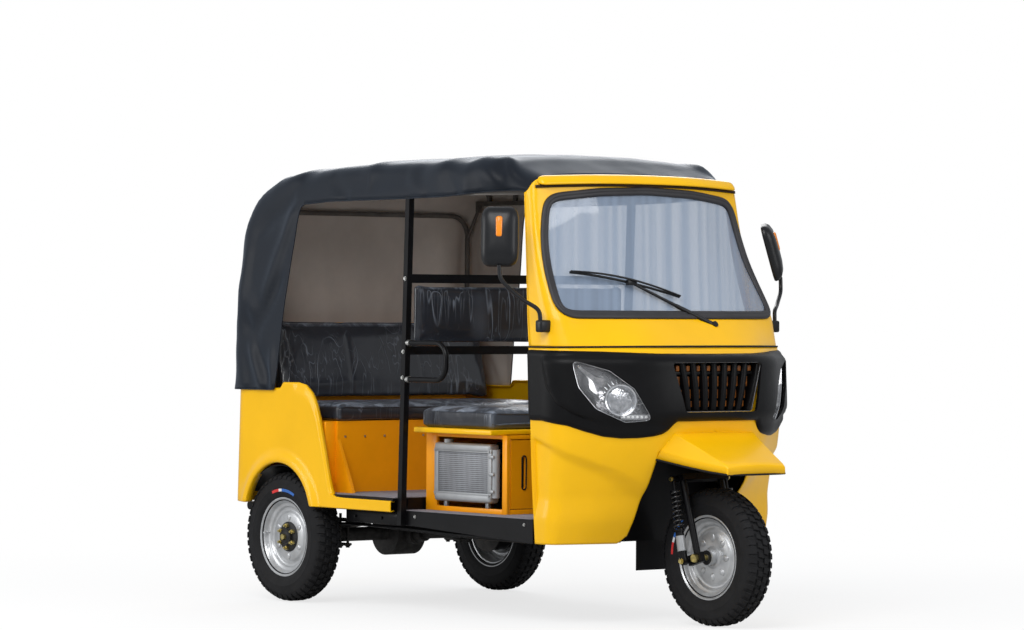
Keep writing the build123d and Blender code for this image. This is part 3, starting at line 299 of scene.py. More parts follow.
DIFF_COVER_R = 0.088
mesh = bmesh.new()
cover = bmesh.ops.create_uvsphere(mesh, u_segments=32, v_segments=16, radius=DIFF_COVER_R)["verts"]
bmesh.ops.scale(mesh, vec=(0.62, 0.8, 0.98), verts=cover)
bmesh.ops.translate(mesh, vec=rear(-0.045, 0, WHEEL_Z), verts=cover)
for step in range(8):
    angle = radians(step * 45 + 22)
    bolt(mesh, rear(-0.05, 0.062 * cos(angle), WHEEL_Z + 0.078 * sin(angle)), (-1, 0, 0), 0.007)
fit("differential_cover", mesh, "body", cast_iron)

ENGINE_LOW, ENGINE_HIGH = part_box("engine_block")
mesh = bmesh.new()
block(mesh, ENGINE_LOW - Vector((0, 0, 0.002)), ENGINE_HIGH, 0.018, 3)
for fin in range(9):
    x = ENGINE_LOW.x + 0.06 + fin * 0.028
    block(mesh, (x, ENGINE_LOW.y - 0.007, ENGINE_LOW.z + 0.16), (x + 0.008, ENGINE_HIGH.y + 0.007,
                                                                ENGINE_LOW.z + 0.33), 0.002, 1)
for x in (0.05, 0.19, 0.33):
    for y in (-0.12, 0.12):
        bolt(mesh, (ENGINE_LOW.x + x, y, ENGINE_LOW.z - 0.002), (0, 0, -1), 0.008)
fit("engine_casting", mesh, "body", cast_iron, instead_of=["engine_block"], crease=40)

# ---------------------------------------------------------------- tyres
# Cross-ply 4.50-12 tyres: smooth sidewalls with fine moulded rings, square shoulder lugs and two
# staggered centre rows, and a short painted stripe on the sidewall from the factory.
TRACK_HALF = -middle("rear_rim_right").y
TYRE_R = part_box("front_tyre")[1].z - WHEEL_Z
LUGS = 46
SIDEWALL = [(0.1535, 0.040), (0.1545, 0.048), (0.166, 0.0515), (0.172, 0.0530), (0.176, 0.0560),
            (0.190, 0.0600), (0.206, 0.0620), (0.2085, 0.0628), (0.211, 0.0620), (0.224, 0.0612),
            (0.238, 0.0590), (0.249, 0.0560), (0.2575, 0.0500), (0.2625, 0.0400), (0.2640, 0.0200),
            (0.2645, 0.0)]
tyre_black = surface("tyre rubber", (0.010, 0.010, 0.011), 0.70, shine=0.2, mottle=(0.25, 24),
                     grain=(0.25, 350), dust=(ROAD_DUST, 0.30, 0.05))
stripe_red = surface("stripe red", (0.62, 0.03, 0.03), 0.5, mottle=(0.15, 80))
stripe_white = surface("stripe white", (0.70, 0.70, 0.72), 0.5, mottle=(0.1, 80))
stripe_blue = surface("stripe blue", (0.03, 0.13, 0.45), 0.5, mottle=(0.15, 80))


def turn_profile(mesh, profile, steps, close=True):
    """Spins a half-section of (radius, y) about the wheel's axis, both sides of the middle if close."""
    mirrored = [(r, -y) for r, y in reversed(profile[:-1])] if close else []
    verts = [mesh.verts.new((r, y, 0)) for r, y in profile + mirrored]
    edges = [mesh.edges.new(pair) for pair in zip(verts, verts[1:])]
    bmesh.ops.spin(mesh, geom=verts + edges, cent=(0, 0, 0), axis=(0, 1, 0), dvec=(0, 0, 0),
                   angle=2 * pi, steps=steps, use_merge=True)


def ring_of(mesh, made, count):
    """Repeats a shape around the wheel's axis."""
    geometry = made + list({e for v in made for e in v.link_edges})
    geometry += list({f for v in made for f in v.link_faces})
    bmesh.ops.spin(mesh, geom=geometry, cent=(0, 0, 0), axis=(0, 1, 0), dvec=(0, 0, 0),
                   angle=2 * pi * (count - 1) / count, steps=count - 1, use_duplicate=True)


def lug(mesh, y_from, y_to, half_length, slant, top_out, top_in, foot):
    """One tread block at the top of the wheel; its outer end drops to the sidewall."""
    made = block(mesh, (-half_length, y_from, foot), (half_length, y_to, top_in), 0.0)
    for vert in made:
        if abs(vert.co.y - y_to) < 1e-6:
            vert.co.x += slant
            if vert.co.z > foot + 1e-6:
                vert.co.z = top_out
                vert.co.y -= 0.004 if y_to > 0 else -0.004
    edges = [e for e in {e for v in made for e in v.link_edges}
             if all(v.co.z > foot + 1e-6 for v in e.verts)]
    return bmesh.ops.bevel(mesh, geom=edges, offset=0.0018, segments=1, affect="EDGES", profile=0.5,
                           material=-1)["verts"] + [v for v in made if v.is_valid]


def stripe(mesh, radius, y, start, colours):
    """Curved dashes painted on the sidewall, one colour after another."""
    for index, sweep in enumerate(colours):
        before = set(mesh.faces)
        verts = [mesh.verts.new((0, y, radius - 0.0060)), mesh.verts.new((0, y, radius + 0.0060))]
        edge = mesh.edges.new(verts)
        bmesh.ops.rotate(mesh, verts=verts, cent=(0, 0, 0), matrix=Matrix.Rotation(radians(start), 3, "Y"))
        bmesh.ops.spin(mesh, geom=verts + [edge], cent=(0, 0, 0), axis=(0, 1, 0), dvec=(0, 0, 0),
                       angle=radians(sweep), steps=8)
        for face in set(mesh.faces) - before:
            face.material_index = index + 1
        start += sweep


# lugs: y from and to, half length, slant, drop of the outer and the inner end, foot, side half a pitch on
LUG_ROWS = [(0.034, 0.0605, 0.0115, 0.004, 0.014, 0.0012, 0.246, 1),
            (0.003, 0.028, 0.0105, 0.007, 0.0004, 0.0, 0.258, -1)]


def tyre_mesh():
    mesh = bmesh.new()
    turn_profile(mesh, SIDEWALL, 96)
    bmesh.ops.remove_doubles(mesh, verts=mesh.verts, dist=1e-5)
    normals_out(mesh)
    for side in (-1, 1):
        for y_from, y_to, half, slant, drop_out, drop_in, foot, shifted in LUG_ROWS:
            made = list(set(lug(mesh, side * y_from, side * y_to, half, side * slant, TYRE_R - drop_out,
                                TYRE_R - drop_in, foot)))
            bmesh.ops.rotate(mesh, verts=made, cent=(0, 0, 0),
                             matrix=Matrix.Rotation(pi / LUGS if side == shifted else 0, 3, "Y"))
            ring_of(mesh, made, LUGS)
    return mesh


def place_wheel(mesh, at, outward=-1):
    """Moves a wheel piece made at the origin, its outer face at +Y, to its axle."""
    if outward < 0:
        bmesh.ops.rotate(mesh, verts=mesh.verts, cent=(0, 0, 0), matrix=Matrix.Rotation(pi, 3, "Z"))
    bmesh.ops.translate(mesh, vec=at, verts=mesh.verts)


# columns: end of the vehicle, side as in the names, middle, outward side, angle of the stripe
WHEELS = [("front", "", Vector((FRONT_X, 0, WHEEL_Z)), -1, 43),
          ("rear", "_right", Vector((REAR_X, -TRACK_HALF, WHEEL_Z)), -1, 335),
          ("rear", "_left", Vector((REAR_X, TRACK_HALF, WHEEL_Z)), 1, 40)]
STRIPE = (26, 6, 14)             # degrees of blue, white and red
for end, tail, at, outward, stripe_at in WHEELS:
    mesh = tyre_mesh()
    stripe(mesh, 0.1985, 0.0618, stripe_at, STRIPE)
    place_wheel(mesh, at, outward)
    fit(f"{end}{tail}_tyre_tread", mesh, f"{end}_wheel{tail}",
        [tyre_black, stripe_blue, stripe_white, stripe_red], instead_of=[f"{end}_tyre{tail}"],
        crease=28)

# ---------------------------------------------------------------- wheel rims and hubs
# Pressed steel rims with a stepped disc, painted silver. The rear discs carry a black drum with brass
# coloured nuts; the front disc has eight pressed bosses and runs on a zinc-plated axle.
yellow_zinc = surface("yellow zinc", (0.55, 0.45, 0.17), 0.32, metal=0.95, mottle=(0.3, 60))
wheel_silver = surface("wheel silver", (0.50, 0.51, 0.52), 0.34, metal=0.55, coat=0.3, mottle=(0.12, 20),
                       grain=(0.06, 500), dust=(ROAD_DUST, 0.4, 0.15))
drum_black = surface("drum black", (0.02, 0.02, 0.02), 0.5, metal=0.3, mottle=(0.3, 40), grain=(0.3, 400))
RIM_OUTSIDE = [(0.1675, 0.0520), (0.1690, 0.0490), (0.1675, 0.0440), (0.1620, 0.0425), (0.1545, 0.0400),
               (0.1530, 0.0300), (0.1470, 0.0230), (0.1450, 0.0100), (0.1450, -0.0150), (0.1530, -0.0250),
               (0.1530, -0.0400), (0.1620, -0.0430), (0.1680, -0.0450), (0.1680, -0.0520)]
DISC_FACE = [(0.1640, 0.0535), (0.1600, 0.0505), (0.1560, 0.0470), (0.1535, 0.0440), (0.1480, 0.0380),
             (0.1455, 0.0300), (0.1420, 0.0265), (0.1340, 0.0255), (0.1290, 0.0235), (0.1270, 0.0180),
             (0.1240, 0.0150), (0.1150, 0.0140), (0.1090, 0.0155), (0.1040, 0.0205), (0.0980, 0.0235),
             (0.0600, 0.0245)]


def rim_mesh(bosses, boss_r, boss_at, hole_r):
    mesh = bmesh.new()
    face = DISC_FACE + [(hole_r, 0.0245)]
    loop = face + [(r, y - 0.005) for r, y in reversed(face)]
    turn_profile(mesh, loop + [loop[0]], 96, close=False)
    turn_profile(mesh, RIM_OUTSIDE + [(r - 0.004, y) for r, y in reversed(RIM_OUTSIDE)] + [RIM_OUTSIDE[0]],
                 96, close=False)
    bmesh.ops.remove_doubles(mesh, verts=mesh.verts, dist=1e-5)
    normals_out(mesh)
    made = bmesh.ops.create_uvsphere(mesh, u_segments=16, v_segments=10, radius=boss_r)["verts"]
    bmesh.ops.scale(mesh, vec=(1.0, 0.42, 1.35), verts=made)
    bmesh.ops.translate(mesh, vec=(0, 0.0245, boss_at), verts=made)
    ring_of(mesh, made, bosses)
    return mesh


# columns: number of bosses, their radius, their distance from the axle, radius of the disc's hole
DISC = {"rear": (6, 0.011, 0.082, 0.035), "front": (8, 0.012, 0.078, 0.027)}
for end, tail, at, outward, stripe_at in WHEELS:
    name, body = end + tail, f"{end}_wheel{tail}"
    mesh = rim_mesh(*DISC[end])
    add_tube(mesh, [(0.135, 0.030, 0.012), (0.138, 0.042, 0.012), (0.133, 0.058, 0.012)], 0.004)
    place_wheel(mesh, at, outward)
    fit(f"{name}_rim_pressing", mesh, body, wheel_silver, instead_of=[f"{end}_rim{tail}"],
        crease=50)
    paint(drum_black if end == "rear" else wheel_silver, f"{end}_hub{tail}")
    mesh = bmesh.new()
    if end == "rear":
        turn_profile(mesh, [(0.0, 0.0480), (0.020, 0.0480), (0.026, 0.0450), (0.030, 0.0400),
                            (0.031, 0.0330), (0.044, 0.0310), (0.060, 0.0290), (0.064, 0.0260),
                            (0.064, 0.0230)], 48, close=False)
        place_wheel(mesh, at, outward)
        fit(f"{name}_hub_flange", mesh, body, drum_black, merge=1e-5)
        mesh = bmesh.new()
        made = bar(mesh, (0, 0.026, 0.047), (0, 0.052, 0.047), 0.005, 12)
        made += bar(mesh, (0, 0.029, 0.047), (0, 0.042, 0.047), 0.0095, 6)
        ring_of(mesh, made, 6)
        bar(mesh, (0, 0.046, 0), (0, 0.060, 0), 0.013, 6)
        place_wheel(mesh, at, outward)
        fit(f"{name}_wheel_nuts", mesh, body, yellow_zinc)
    else:
        turn_profile(mesh, [(0.016, 0.0560), (0.022, 0.0550), (0.024, 0.0500), (0.026, 0.0300),
                            (0.040, 0.0270), (0.048, 0.0230)], 48, close=False)
        place_wheel(mesh, at, outward)
        fit("front_hub_boss", mesh, body, wheel_silver, merge=1e-5)
        mesh = bmesh.new()
        turn_profile(mesh, [(0.0290, 0.0545), (0.0290, 0.0572), (0.0270, 0.0580), (0.0135, 0.0580)], 40,
                     close=False)
        place_wheel(mesh, at, outward)
        fit("front_hub_seal", mesh, body, drum_black, merge=1e-5)

# ---------------------------------------------------------------- lower cowl
# The cab front is moulded to one curved skin: flat nose, faces that slant back on each side, round
# shoulders and straight cheeks. The yellow lower cowl is its part from the floor to the seam, and the
# black nose panel and the screen surround are laid on the same skin.

# columns: height, then from the front axle x of the rear edge, half width, x of the shoulder, shoulder
# radius, x of the front corner, y of the front corner, radius of the front corner
COWL = [(0.323, -0.418, 0.582, -0.335, 0.080, -0.272, 0.262, 0.030),
        (0.572, -0.425, 0.593, -0.300, 0.200, -0.118, 0.262, 0.120),
        (0.800, -0.429, 0.600, -0.275, 0.250, -0.010, 0.264, 0.420),
        (1.041, -0.439, 0.600, -0.280, 0.250, -0.020, 0.264, 0.420),
        (1.097, -0.443, 0.600, -0.285, 0.240, -0.092, 0.285, 0.500),
        (1.218, -0.455, 0.598, -0.300, 0.120, -0.217, 0.300, 0.800),
        (1.462, -0.506, 0.565, -0.438, 0.075, -0.355, 0.280, 0.800),
        (1.740, -0.545, 0.545, -0.498, 0.045, -0.440, 0.250, 0.800),
        (1.790, -0.553, 0.540, -0.504, 0.045, -0.446, 0.250, 0.800)]
CREASES = (1.041, 1.218)        # the bonnet's front edge and the foot of the screen
CREASE_SOFT = 0.012
SEAM_Z = 1.097
cowl_cache = {}


def halved(low, high, steps, inside):
    """Closes in on the place between low and high where inside() stops being true."""
    for step in range(steps):
        half = (low + high) / 2
        if inside(half):
            low = half
        else:
            high = half
    return low, high


def table_at(table, value):
    """Straight interpolation in a short table of pairs."""
    if value <= table[0][0]:
        return table[0][1]
    for (a, p), (b, q) in zip(table, table[1:]):
        if value <= b:
            return p + (q - p) * (value - a) / (b - a)
    return table[-1][1]


def distances(line):
    """Distance along a line of points to each of them."""
    runs = [0.0]
    for a, b in zip(line, line[1:]):
        runs.append(runs[-1] + (b - a).length)
    return runs


def curve_through(heights, values, slopes, z):
    """Smooth value at a height between rows."""
    for low, high, a, b, ma, mb in zip(heights, heights[1:], values, values[1:], slopes, slopes[1:]):
        if z <= high or high == heights[-1]:
            gap = high - low
            t = (z - low) / gap
            return ((2 * t ** 3 - 3 * t ** 2 + 1) * a + (t ** 3 - 2 * t ** 2 + t) * gap * ma
                    + (3 * t ** 2 - 2 * t ** 3) * b + (t ** 3 - t ** 2) * gap * mb)


def cowl_row(z):
    """The section's sizes at a height, smooth between rows and creased where the skin folds."""
    zones = [[row for row in COWL if row[0] <= CREASES[0]],
             [row for row in COWL if CREASES[0] <= row[0] <= CREASES[1]],
             [row for row in COWL if row[0] >= CREASES[1]]]
    zone = zones[0] if z <= CREASES[0] else zones[1] if z <= CREASES[1] else zones[2]
    heights = [row[0] for row in zone]
    found = []
    for column in range(1, 8):
        values = [row[column] for row in zone]
        steps = [(b - a) / (d - c) for a, b, c, d in zip(values, values[1:], heights, heights[1:])]
        slopes = [steps[0]] + [(a + b) / 2 for a, b in zip(steps, steps[1:])] + [steps[-1]]
        found.append(curve_through(heights, values, slopes, z))
    return found


def cowl_line(z):
    """Plan line of the skin from the middle of the nose round to the rear edge: points and distances."""
    key = round(z, 5)
    if key in cowl_cache:
        return cowl_cache[key]
    rows = [cowl_row(min(max(z + shift, 0.300), 1.80)) for shift in (-CREASE_SOFT, 0, CREASE_SOFT)]
    rear_x, half, shoulder_x, shoulder_r, front_x, front_y, front_r = [
        (a + 2 * b + c) / 4 for a, b, c in zip(*rows)]
    corners = [Vector((front_x, 0)), Vector((front_x, front_y)), Vector((shoulder_x, half)),
               Vector((rear_x, half))]
    line = [corners[0]]
    for before, corner, after, radius in ((corners[0], corners[1], corners[2], front_r),
                                          (corners[1], corners[2], corners[3], shoulder_r)):
        back, ahead = (before - corner).normalized(), (after - corner).normalized()
        half_turn = (pi - back.angle(ahead)) / 2
        reach = min(radius * sin(half_turn) / cos(half_turn), (before - corner).length * 0.95,
                    (after - corner).length * 0.48)
        start, end = corner + back * reach, corner + ahead * reach
        for step in range(13):
            t = step / 12
            line.append(start * (1 - t) ** 2 + corner * 2 * t * (1 - t) + end * t ** 2)
    line.append(corners[3])
    runs = distances(line)
    cowl_cache[key] = (line, runs)
    return line, runs


def cowl_length(z):
    return cowl_line(z)[1][-1]


def on_line(z, run):
    """Plan point and outward direction at a distance round from the middle, run from 0."""
    line, runs = cowl_line(z)
    if run >= runs[-1]:
        spare = run - runs[-1]
        roll = min(spare, 0.004)
        return Vector((line[-1].x - roll * 0.7, line[-1].y - max(0.0, spare - 0.0012)))
    low, high = 0, len(runs) - 1
    while high - low > 1:
        half = (low + high) // 2
        if runs[half] <= run:
            low = half
        else:
            high = half
    share = (run - runs[low]) / max(runs[high] - runs[low], 1e-9)
    return line[low].lerp(line[high], share)


def skin_at(run, z):
    spot = on_line(z, abs(run))
    return Vector((FRONT_X + spot.x, spot.y if run >= 0 else -spot.y, z))


def skin(run, z, out=0.0):
    """Point on the cowl's skin; run is the distance round from the middle, left positive."""
    place = skin_at(run, z)
    if not out:
        return place
    step = 0.004
    length = cowl_length(z)
    inner = min(abs(run), length - 0.002) * (1 if run >= 0 else -1)
    across = skin_at(inner + step * 0.5, z) - skin_at(inner - step * 0.5, z)
    along = skin_at(inner, z + step) - skin_at(inner, z - step)
    normal = along.cross(across).normalized() * -1
    if normal.x < 0 and abs(normal.y) < 0.3:
        normal = -normal
    if abs(normal.y) >= 0.3 and normal.y * run < 0:
        normal = -normal
    return place + normal * out


def run_at_y(z, y):
    """Distance round at which the skin is y off the middle."""
    return halved(0.0, cowl_length(z), 24, lambda run: on_line(z, run).y < abs(y))[1]


def run_at_x(z, x):
    """Distance round at which the skin is x from the front axle."""
    return halved(0.0, cowl_length(z), 24, lambda run: on_line(z, run).x > x)[1]


def smooth_step(value, low, high):
    t = min(1.0, max(0.0, (value - low) / (high - low)))
    return t * t * (3 - 2 * t)


def sheet_over(mesh, across, along, shape, flip=False):
    """A grid whose corners go where shape(u, v) says, u and v from 0 to 1."""
    made = bmesh.ops.create_grid(mesh, x_segments=across, y_segments=along, size=0.5)["verts"]
    faces = {f for v in made for f in v.link_faces}
    for vert in made:
        vert.co = shape(min(1.0, max(0.0, vert.co.x + 0.5)), min(1.0, max(0.0, vert.co.y + 0.5)))
    if flip:
        bmesh.ops.reverse_faces(mesh, faces=list(faces))
    return made


def thicken(piece, wall):
    """Gives a panel its wall, on the inner side of its skin."""
    solid = piece.modifiers.new("wall", "SOLIDIFY")
    solid.thickness = wall
    solid.offset = -1.0
    solid.use_even_offset = True
    return solid


# two cheeks that wrap the front wheel opening, a flat nose behind the black panel, and a narrow yellow
# band below the seam, with edges turned inward
black_rubber = surface("black rubber", (0.008, 0.008, 0.009), 0.60, shine=0.2, mottle=(0.2, 6),
                       grain=(0.1, 500))
ROLL = 0.022
PANEL_WALL = 0.004
SKIRT_EDGE_Y = 0.255
NOSE_OPEN_Z = (0.690, 0.770)     # above this the skin closes across the nose
LOW_Z = COWL[0][0]
FRONT_CORNER = (0.10, 0.030)     # share of the cheek, and height, of its rounded front lower corner
SWOOP = [(0.745, -0.470), (0.707, -0.352), (0.662, -0.280), (0.614, -0.222), (0.564, -0.192), (0.507, -0.173),
         (0.429, -0.166)]        # crease in the cheek: height, x from the front axle
body_yellow = surface("yellow enamel", (0.93, 0.505, 0.002), 0.30, coat=0.20, shine=0.20, mottle=(0.035, 3.0),
                      grain=(0.03, 900), rough_spread=0.05, dust=(ROAD_DUST, 0.55, 0.06))


def swoop_step(run, z):
    """How far the cheek stands out of its skin beside its crease."""
    line_x = table_at(SWOOP[::-1], z)
    x = on_line(z, run).x
    share = smooth_step(x - line_x, -0.010, 0.075)
    fade = smooth_step(z, 0.40, 0.52) * (1 - smooth_step(z, 0.74, 0.79))
    return 0.014 * fade * (share - 1)


def cheek(side):
    def shape(u, v):
        edge = smooth_step(1 - u, 1 - FRONT_CORNER[0], 1.0)
        low = LOW_Z + FRONT_CORNER[1] * edge ** 2
        z = low + (SEAM_Z - 0.002 - low) * v
        length = cowl_length(z)
        opening = run_at_y(z, SKIRT_EDGE_Y) * (1 - smooth_step(z, *NOSE_OPEN_Z))
        run = opening + (length - opening) * min(1.0, u / 0.94)
        if u > 0.94:
            run = length + ROLL * (u - 0.94) / 0.06
            return skin_at(side * run, z)
        return skin(side * run, z, swoop_step(run, z))
    return shape


mesh = bmesh.new()
for side in (-1, 1):
    sheet_over(mesh, 84, 92, cheek(side), flip=side > 0)
bmesh.ops.remove_doubles(mesh, verts=mesh.verts, dist=0.0004)
cowl_skin = fit("lower_cowl_skin", mesh, "body", body_yellow, instead_of=["lower_cowl"],
                crease=50)

# black strip in the seam below the screen surround
mesh = bmesh.new()


def seam_strip(u, v):
    z = SEAM_Z - 0.002 + 0.006 * v
    return skin((u - 0.5) * 2 * cowl_length(z), z, 0.0012)


sheet_over(mesh, 160, 2, seam_strip, flip=True)
piece = fit("seam_strip", mesh, "body", black_rubber)
thicken(piece, 0.006)

# ---------------------------------------------------------------- black nose panel
# Fine-grained black moulding across the nose and back along both cheeks, a few millimetres proud of the
# yellow skin, with a rounded border, a scooped crescent beside each lamp and openings for lamps and grille.
NOSE_TOP = [(0.0, 1.063), (0.30, 1.065), (0.60, 1.072), (1.0, 1.078)]
NOSE_LOW = [(0.0, 0.8225), (0.208, 0.8215), (0.222, 0.812), (0.246, 0.784), (0.268, 0.770), (0.300, 0.7625),
            (0.360, 0.7555), (0.430, 0.7535), (0.500, 0.7600), (0.575, 0.7800), (0.640, 0.8010),
            (0.76, 0.8190)]
PROUD = 0.0055
BORDER = 0.010
CRESCENT = [(1.079, -0.352), (1.024, -0.340), (0.950, -0.322), (0.885, -0.282), (0.847, -0.236),
            (0.817, -0.190)]
nose_black = surface("nose black", (0.0045, 0.0045, 0.0050), 0.36, shine=0.13, mottle=(0.10, 8),
                     grain=(0.22, 1100))


def crescent_step(run, z):
    """The raised field around a lamp, bounded by a crescent on its outer side."""
    gap = on_line(z, run).x - table_at(CRESCENT[::-1], z)
    fade = smooth_step(z, 0.790, 0.850) * (1 - smooth_step(z, 1.035, 1.066))
    return 0.015 * fade * smooth_step(gap, -0.002, 0.016)


def nose_shape(side):
    def shape(u, v):
        run = cowl_length(0.95) * u
        top = table_at(NOSE_TOP, u)
        low = table_at(NOSE_LOW, run)
        z = low + (top - low) * v
        length = cowl_length(z)
        place = u * length
        rim = min((top - z), (z - low), (1 - u) * length)
        out = -0.002 + (PROUD + 0.002) * smooth_step(rim, 0.0, BORDER) ** 0.5
        return skin(side * place, z, out + crescent_step(place, z))
    return shape


def spread(steps, fine):
    """Even shares with extra ones close to both ends."""
    return fine + [fine[-1] + (1 - 2 * fine[-1]) * (k + 1) / (steps + 1) for k in range(steps)] \
        + [1 - share for share in reversed(fine)]


mesh = bmesh.new()
NOSE_ROWS = spread(44, [0.0, 0.004, 0.010, 0.020, 0.034])
for side in (-1, 1):
    last = len(NOSE_ROWS) - 1
    shape = nose_shape(side)
    sheet_over(mesh, 110, last, lambda u, v: shape(u, NOSE_ROWS[round(v * last)]), flip=side > 0)
bmesh.ops.remove_doubles(mesh, verts=mesh.verts, dist=0.0003)
nose_panel = fit("nose_moulding", mesh, "body", nose_black, instead_of=["nose_panel"],
                 crease=60)
thicken(nose_panel, 0.012)


def evaluated(piece):
    """The piece's mesh with its modifiers applied."""
    graph = bpy.context.evaluated_depsgraph_get()
    return bpy.data.meshes.new_from_object(piece.evaluated_get(graph), depsgraph=graph)


def cut_out(piece, mesh, name):
    """Cuts a closed shape out of a piece for good."""
    normals_out(mesh)
    tool = placed(name, baked(name, mesh))
    cut = piece.modifiers.new("cut", "BOOLEAN")
    cut.operation = "DIFFERENCE"
    cut.solver = "EXACT"
    cut.object = tool
    result = evaluated(piece)
    piece.modifiers.clear()
    piece.data = result
    bpy.data.objects.remove(tool)
    for face in result.polygons:
        face.use_smooth = True
    result.set_sharp_from_angle(angle=radians(40))


def rounded(points, radius, steps=6):
    """Closed outline with its corners rounded."""
    found = []
    spots = [Vector(p) for p in points]
    for before, corner, after in zip([spots[-1]] + spots[:-1], spots, spots[1:] + [spots[0]]):
        back, ahead = (before - corner), (after - corner)
        turn = (pi - back.angle(ahead)) / 2
        reach = min(radius * sin(turn) / max(cos(turn), 1e-6), back.length * 0.48, ahead.length * 0.48)
        start, end = corner + back.normalized() * reach, corner + ahead.normalized() * reach
        for step in range(steps + 1):
            t = step / steps
            found.append(start * (1 - t) ** 2 + corner * 2 * t * (1 - t) + end * t ** 2)
    return found


def pushed(mesh, outline, move):
    """A closed block pushed from a flat outline of points."""
    verts = [mesh.verts.new(p) for p in outline]
    face = mesh.faces.new(verts)
    made = bmesh.ops.extrude_face_region(mesh, geom=[face])["geom"]
    bmesh.ops.translate(mesh, vec=move, verts=[g for g in made if isinstance(g, bmesh.types.BMVert)])


# outline of a headlamp on the slanting face: distance along the face from its outer end, height
LAMP_FACE = COWL[2]
LAMP_OUTLINE = [(0.054, 1.050), (0.205, 1.008), (0.302, 0.938), (0.376, 0.815), (0.268, 0.806),
                (0.152, 0.858), (0.082, 0.942)]
face_start = Vector((LAMP_FACE[3], LAMP_FACE[2]))
face_run = (Vector((LAMP_FACE[5], LAMP_FACE[6])) - face_start).normalized()
face_out = Vector((-face_run.y, face_run.x))


def lamp_spot(run, z, depth, side):
    """Point on the lamp's face plane; depth is measured outward."""
    place = face_start + face_run * run + face_out * depth
    return Vector((FRONT_X + place.x, side * place.y, z))


GRILLE_TOP = (0.238, 1.041)
GRILLE_LOW = (0.188, 0.846)
grille_outline = rounded([(-GRILLE_TOP[0], GRILLE_TOP[1]), (GRILLE_TOP[0], GRILLE_TOP[1]),
                          (GRILLE_LOW[0], GRILLE_LOW[1]), (-GRILLE_LOW[0], GRILLE_LOW[1])], 0.016)
lamp_outline = rounded(LAMP_OUTLINE, 0.020)
for panel in (nose_panel, cowl_skin):
    mesh = bmesh.new()
    pushed(mesh, [(FRONT_X - 0.12, y, z) for y, z in grille_outline], (0.25, 0, 0))
    cut_out(panel, mesh, "grille_cutter")
    for side in (-1, 1):
        mesh = bmesh.new()
        pushed(mesh, [lamp_spot(run, z, -0.10, side) for run, z in lamp_outline],
               Vector((face_out.x, side * face_out.y, 0)) * 0.22)
        cut_out(panel, mesh, "lamp_cutter")
thicken(cowl_skin, PANEL_WALL)

# fine upright joints on both sides of the grille
mesh = bmesh.new()
for side in (-1, 1):
    line = [skin(side * run_at_y(z, 0.266 - 0.05 * (z - 0.83)), z, PROUD + 0.0004)
            for z in [0.830 + 0.230 * k / 12 for k in range(13)]]
    add_tube(mesh, line, 0.0013, 2)
fit("nose_joints", mesh, "body", black_rubber, crease=60)

# ---------------------------------------------------------------- screen surround
# Yellow skin above the seam: band below the glass, two pillars and the header, in one piece round the
# screen opening, with its rear edges turned inward and a rain lip that stands out along the header.


def rings(mesh, loops, closed=True, cap=False):
    """Faces between loops of points."""
    made = [[mesh.verts.new(p) for p in loop] for loop in loops]
    for ring, nxt in zip(made, made[1:]):
        for k in range(len(ring) - (0 if closed else 1)):
            j = (k + 1) % len(ring)
            mesh.faces.new((ring[k], ring[j], nxt[j], nxt[k]))
    if cap:
        mesh.faces.new(made[-1])
    return made


SCREEN_LOW_Z = 1.212
SEAM_TOP_Z = SEAM_Z + 0.003      # foot of the surround, above the black strip
SCREEN_HEAD = (0.500, 1.700)
SCREEN_CROWN_Z = 1.738
SCREEN_FOOT_Y = 0.604
SCREEN_MIDDLE_Z = 1.46
SCREEN_CORNER_R = 0.085
SCREEN_POINTS = 220
SCREEN_SIDE = [(1.212, -0.307), (1.466, -0.445), (1.690, -0.511), (1.765, -0.511)]
HEADER_Z = 1.755
HEADER_ARCH = 0.030


def screen_half(z):
    """Distance round to the side edge of the screen opening."""
    share = (z - SCREEN_LOW_Z) / (SCREEN_HEAD[1] - SCREEN_LOW_Z)
    side = run_at_x(z, table_at(SCREEN_SIDE, z))
    return min(side, run_at_y(z, SCREEN_FOOT_Y + (SCREEN_HEAD[0] - SCREEN_FOOT_Y) * share))


def evenly(outline, count):
    """Closed outline with evenly spaced points."""
    loop = outline + [outline[0]]
    runs = distances(loop)
    found = []
    part = 0
    for k in range(count):
        want = runs[-1] * k / count
        while runs[part + 1] < want:
            part += 1
        found.append(loop[part].lerp(loop[part + 1],
                                     (want - runs[part]) / max(runs[part + 1] - runs[part], 1e-9)))
    return found


def smoothed(outline, turns):
    for turn in range(turns):
        outline = [a * 0.25 + b * 0.5 + c * 0.25
                   for a, b, c in zip([outline[-1]] + outline[:-1], outline, outline[1:] + [outline[0]])]
    return outline


right = [(screen_half(z), z) for z in (1.212, 1.370, 1.535, 1.700)] + [(0.25, 1.728)]
corners = [(0.0, SCREEN_LOW_Z)] + right + [(0.0, SCREEN_CROWN_Z)] + [(-run, z) for run, z in reversed(right)]
screen_outline = smoothed(evenly(rounded(corners, SCREEN_CORNER_R), SCREEN_POINTS), 6)


def header_z(share):
    return HEADER_Z + HEADER_ARCH * (1 - share * share) - 0.045 * smooth_step(abs(share), 0.89, 1.0)


def outer_point(spot):
    """Where a ray from the screen's middle through a point meets the surround's outer edge."""
    share, z = spot.x / cowl_length(spot.y), spot.y

    def reached(t):
        return share * (1 + t), SCREEN_MIDDLE_Z + (z - SCREEN_MIDDLE_Z) * (1 + t)

    def inside(t):
        across, height = reached(t)
        return abs(across) < 1 and SEAM_TOP_Z < height < header_z(min(1.0, abs(across)))

    return Vector(reached(halved(0.0, 6.0, 40, inside)[0]))


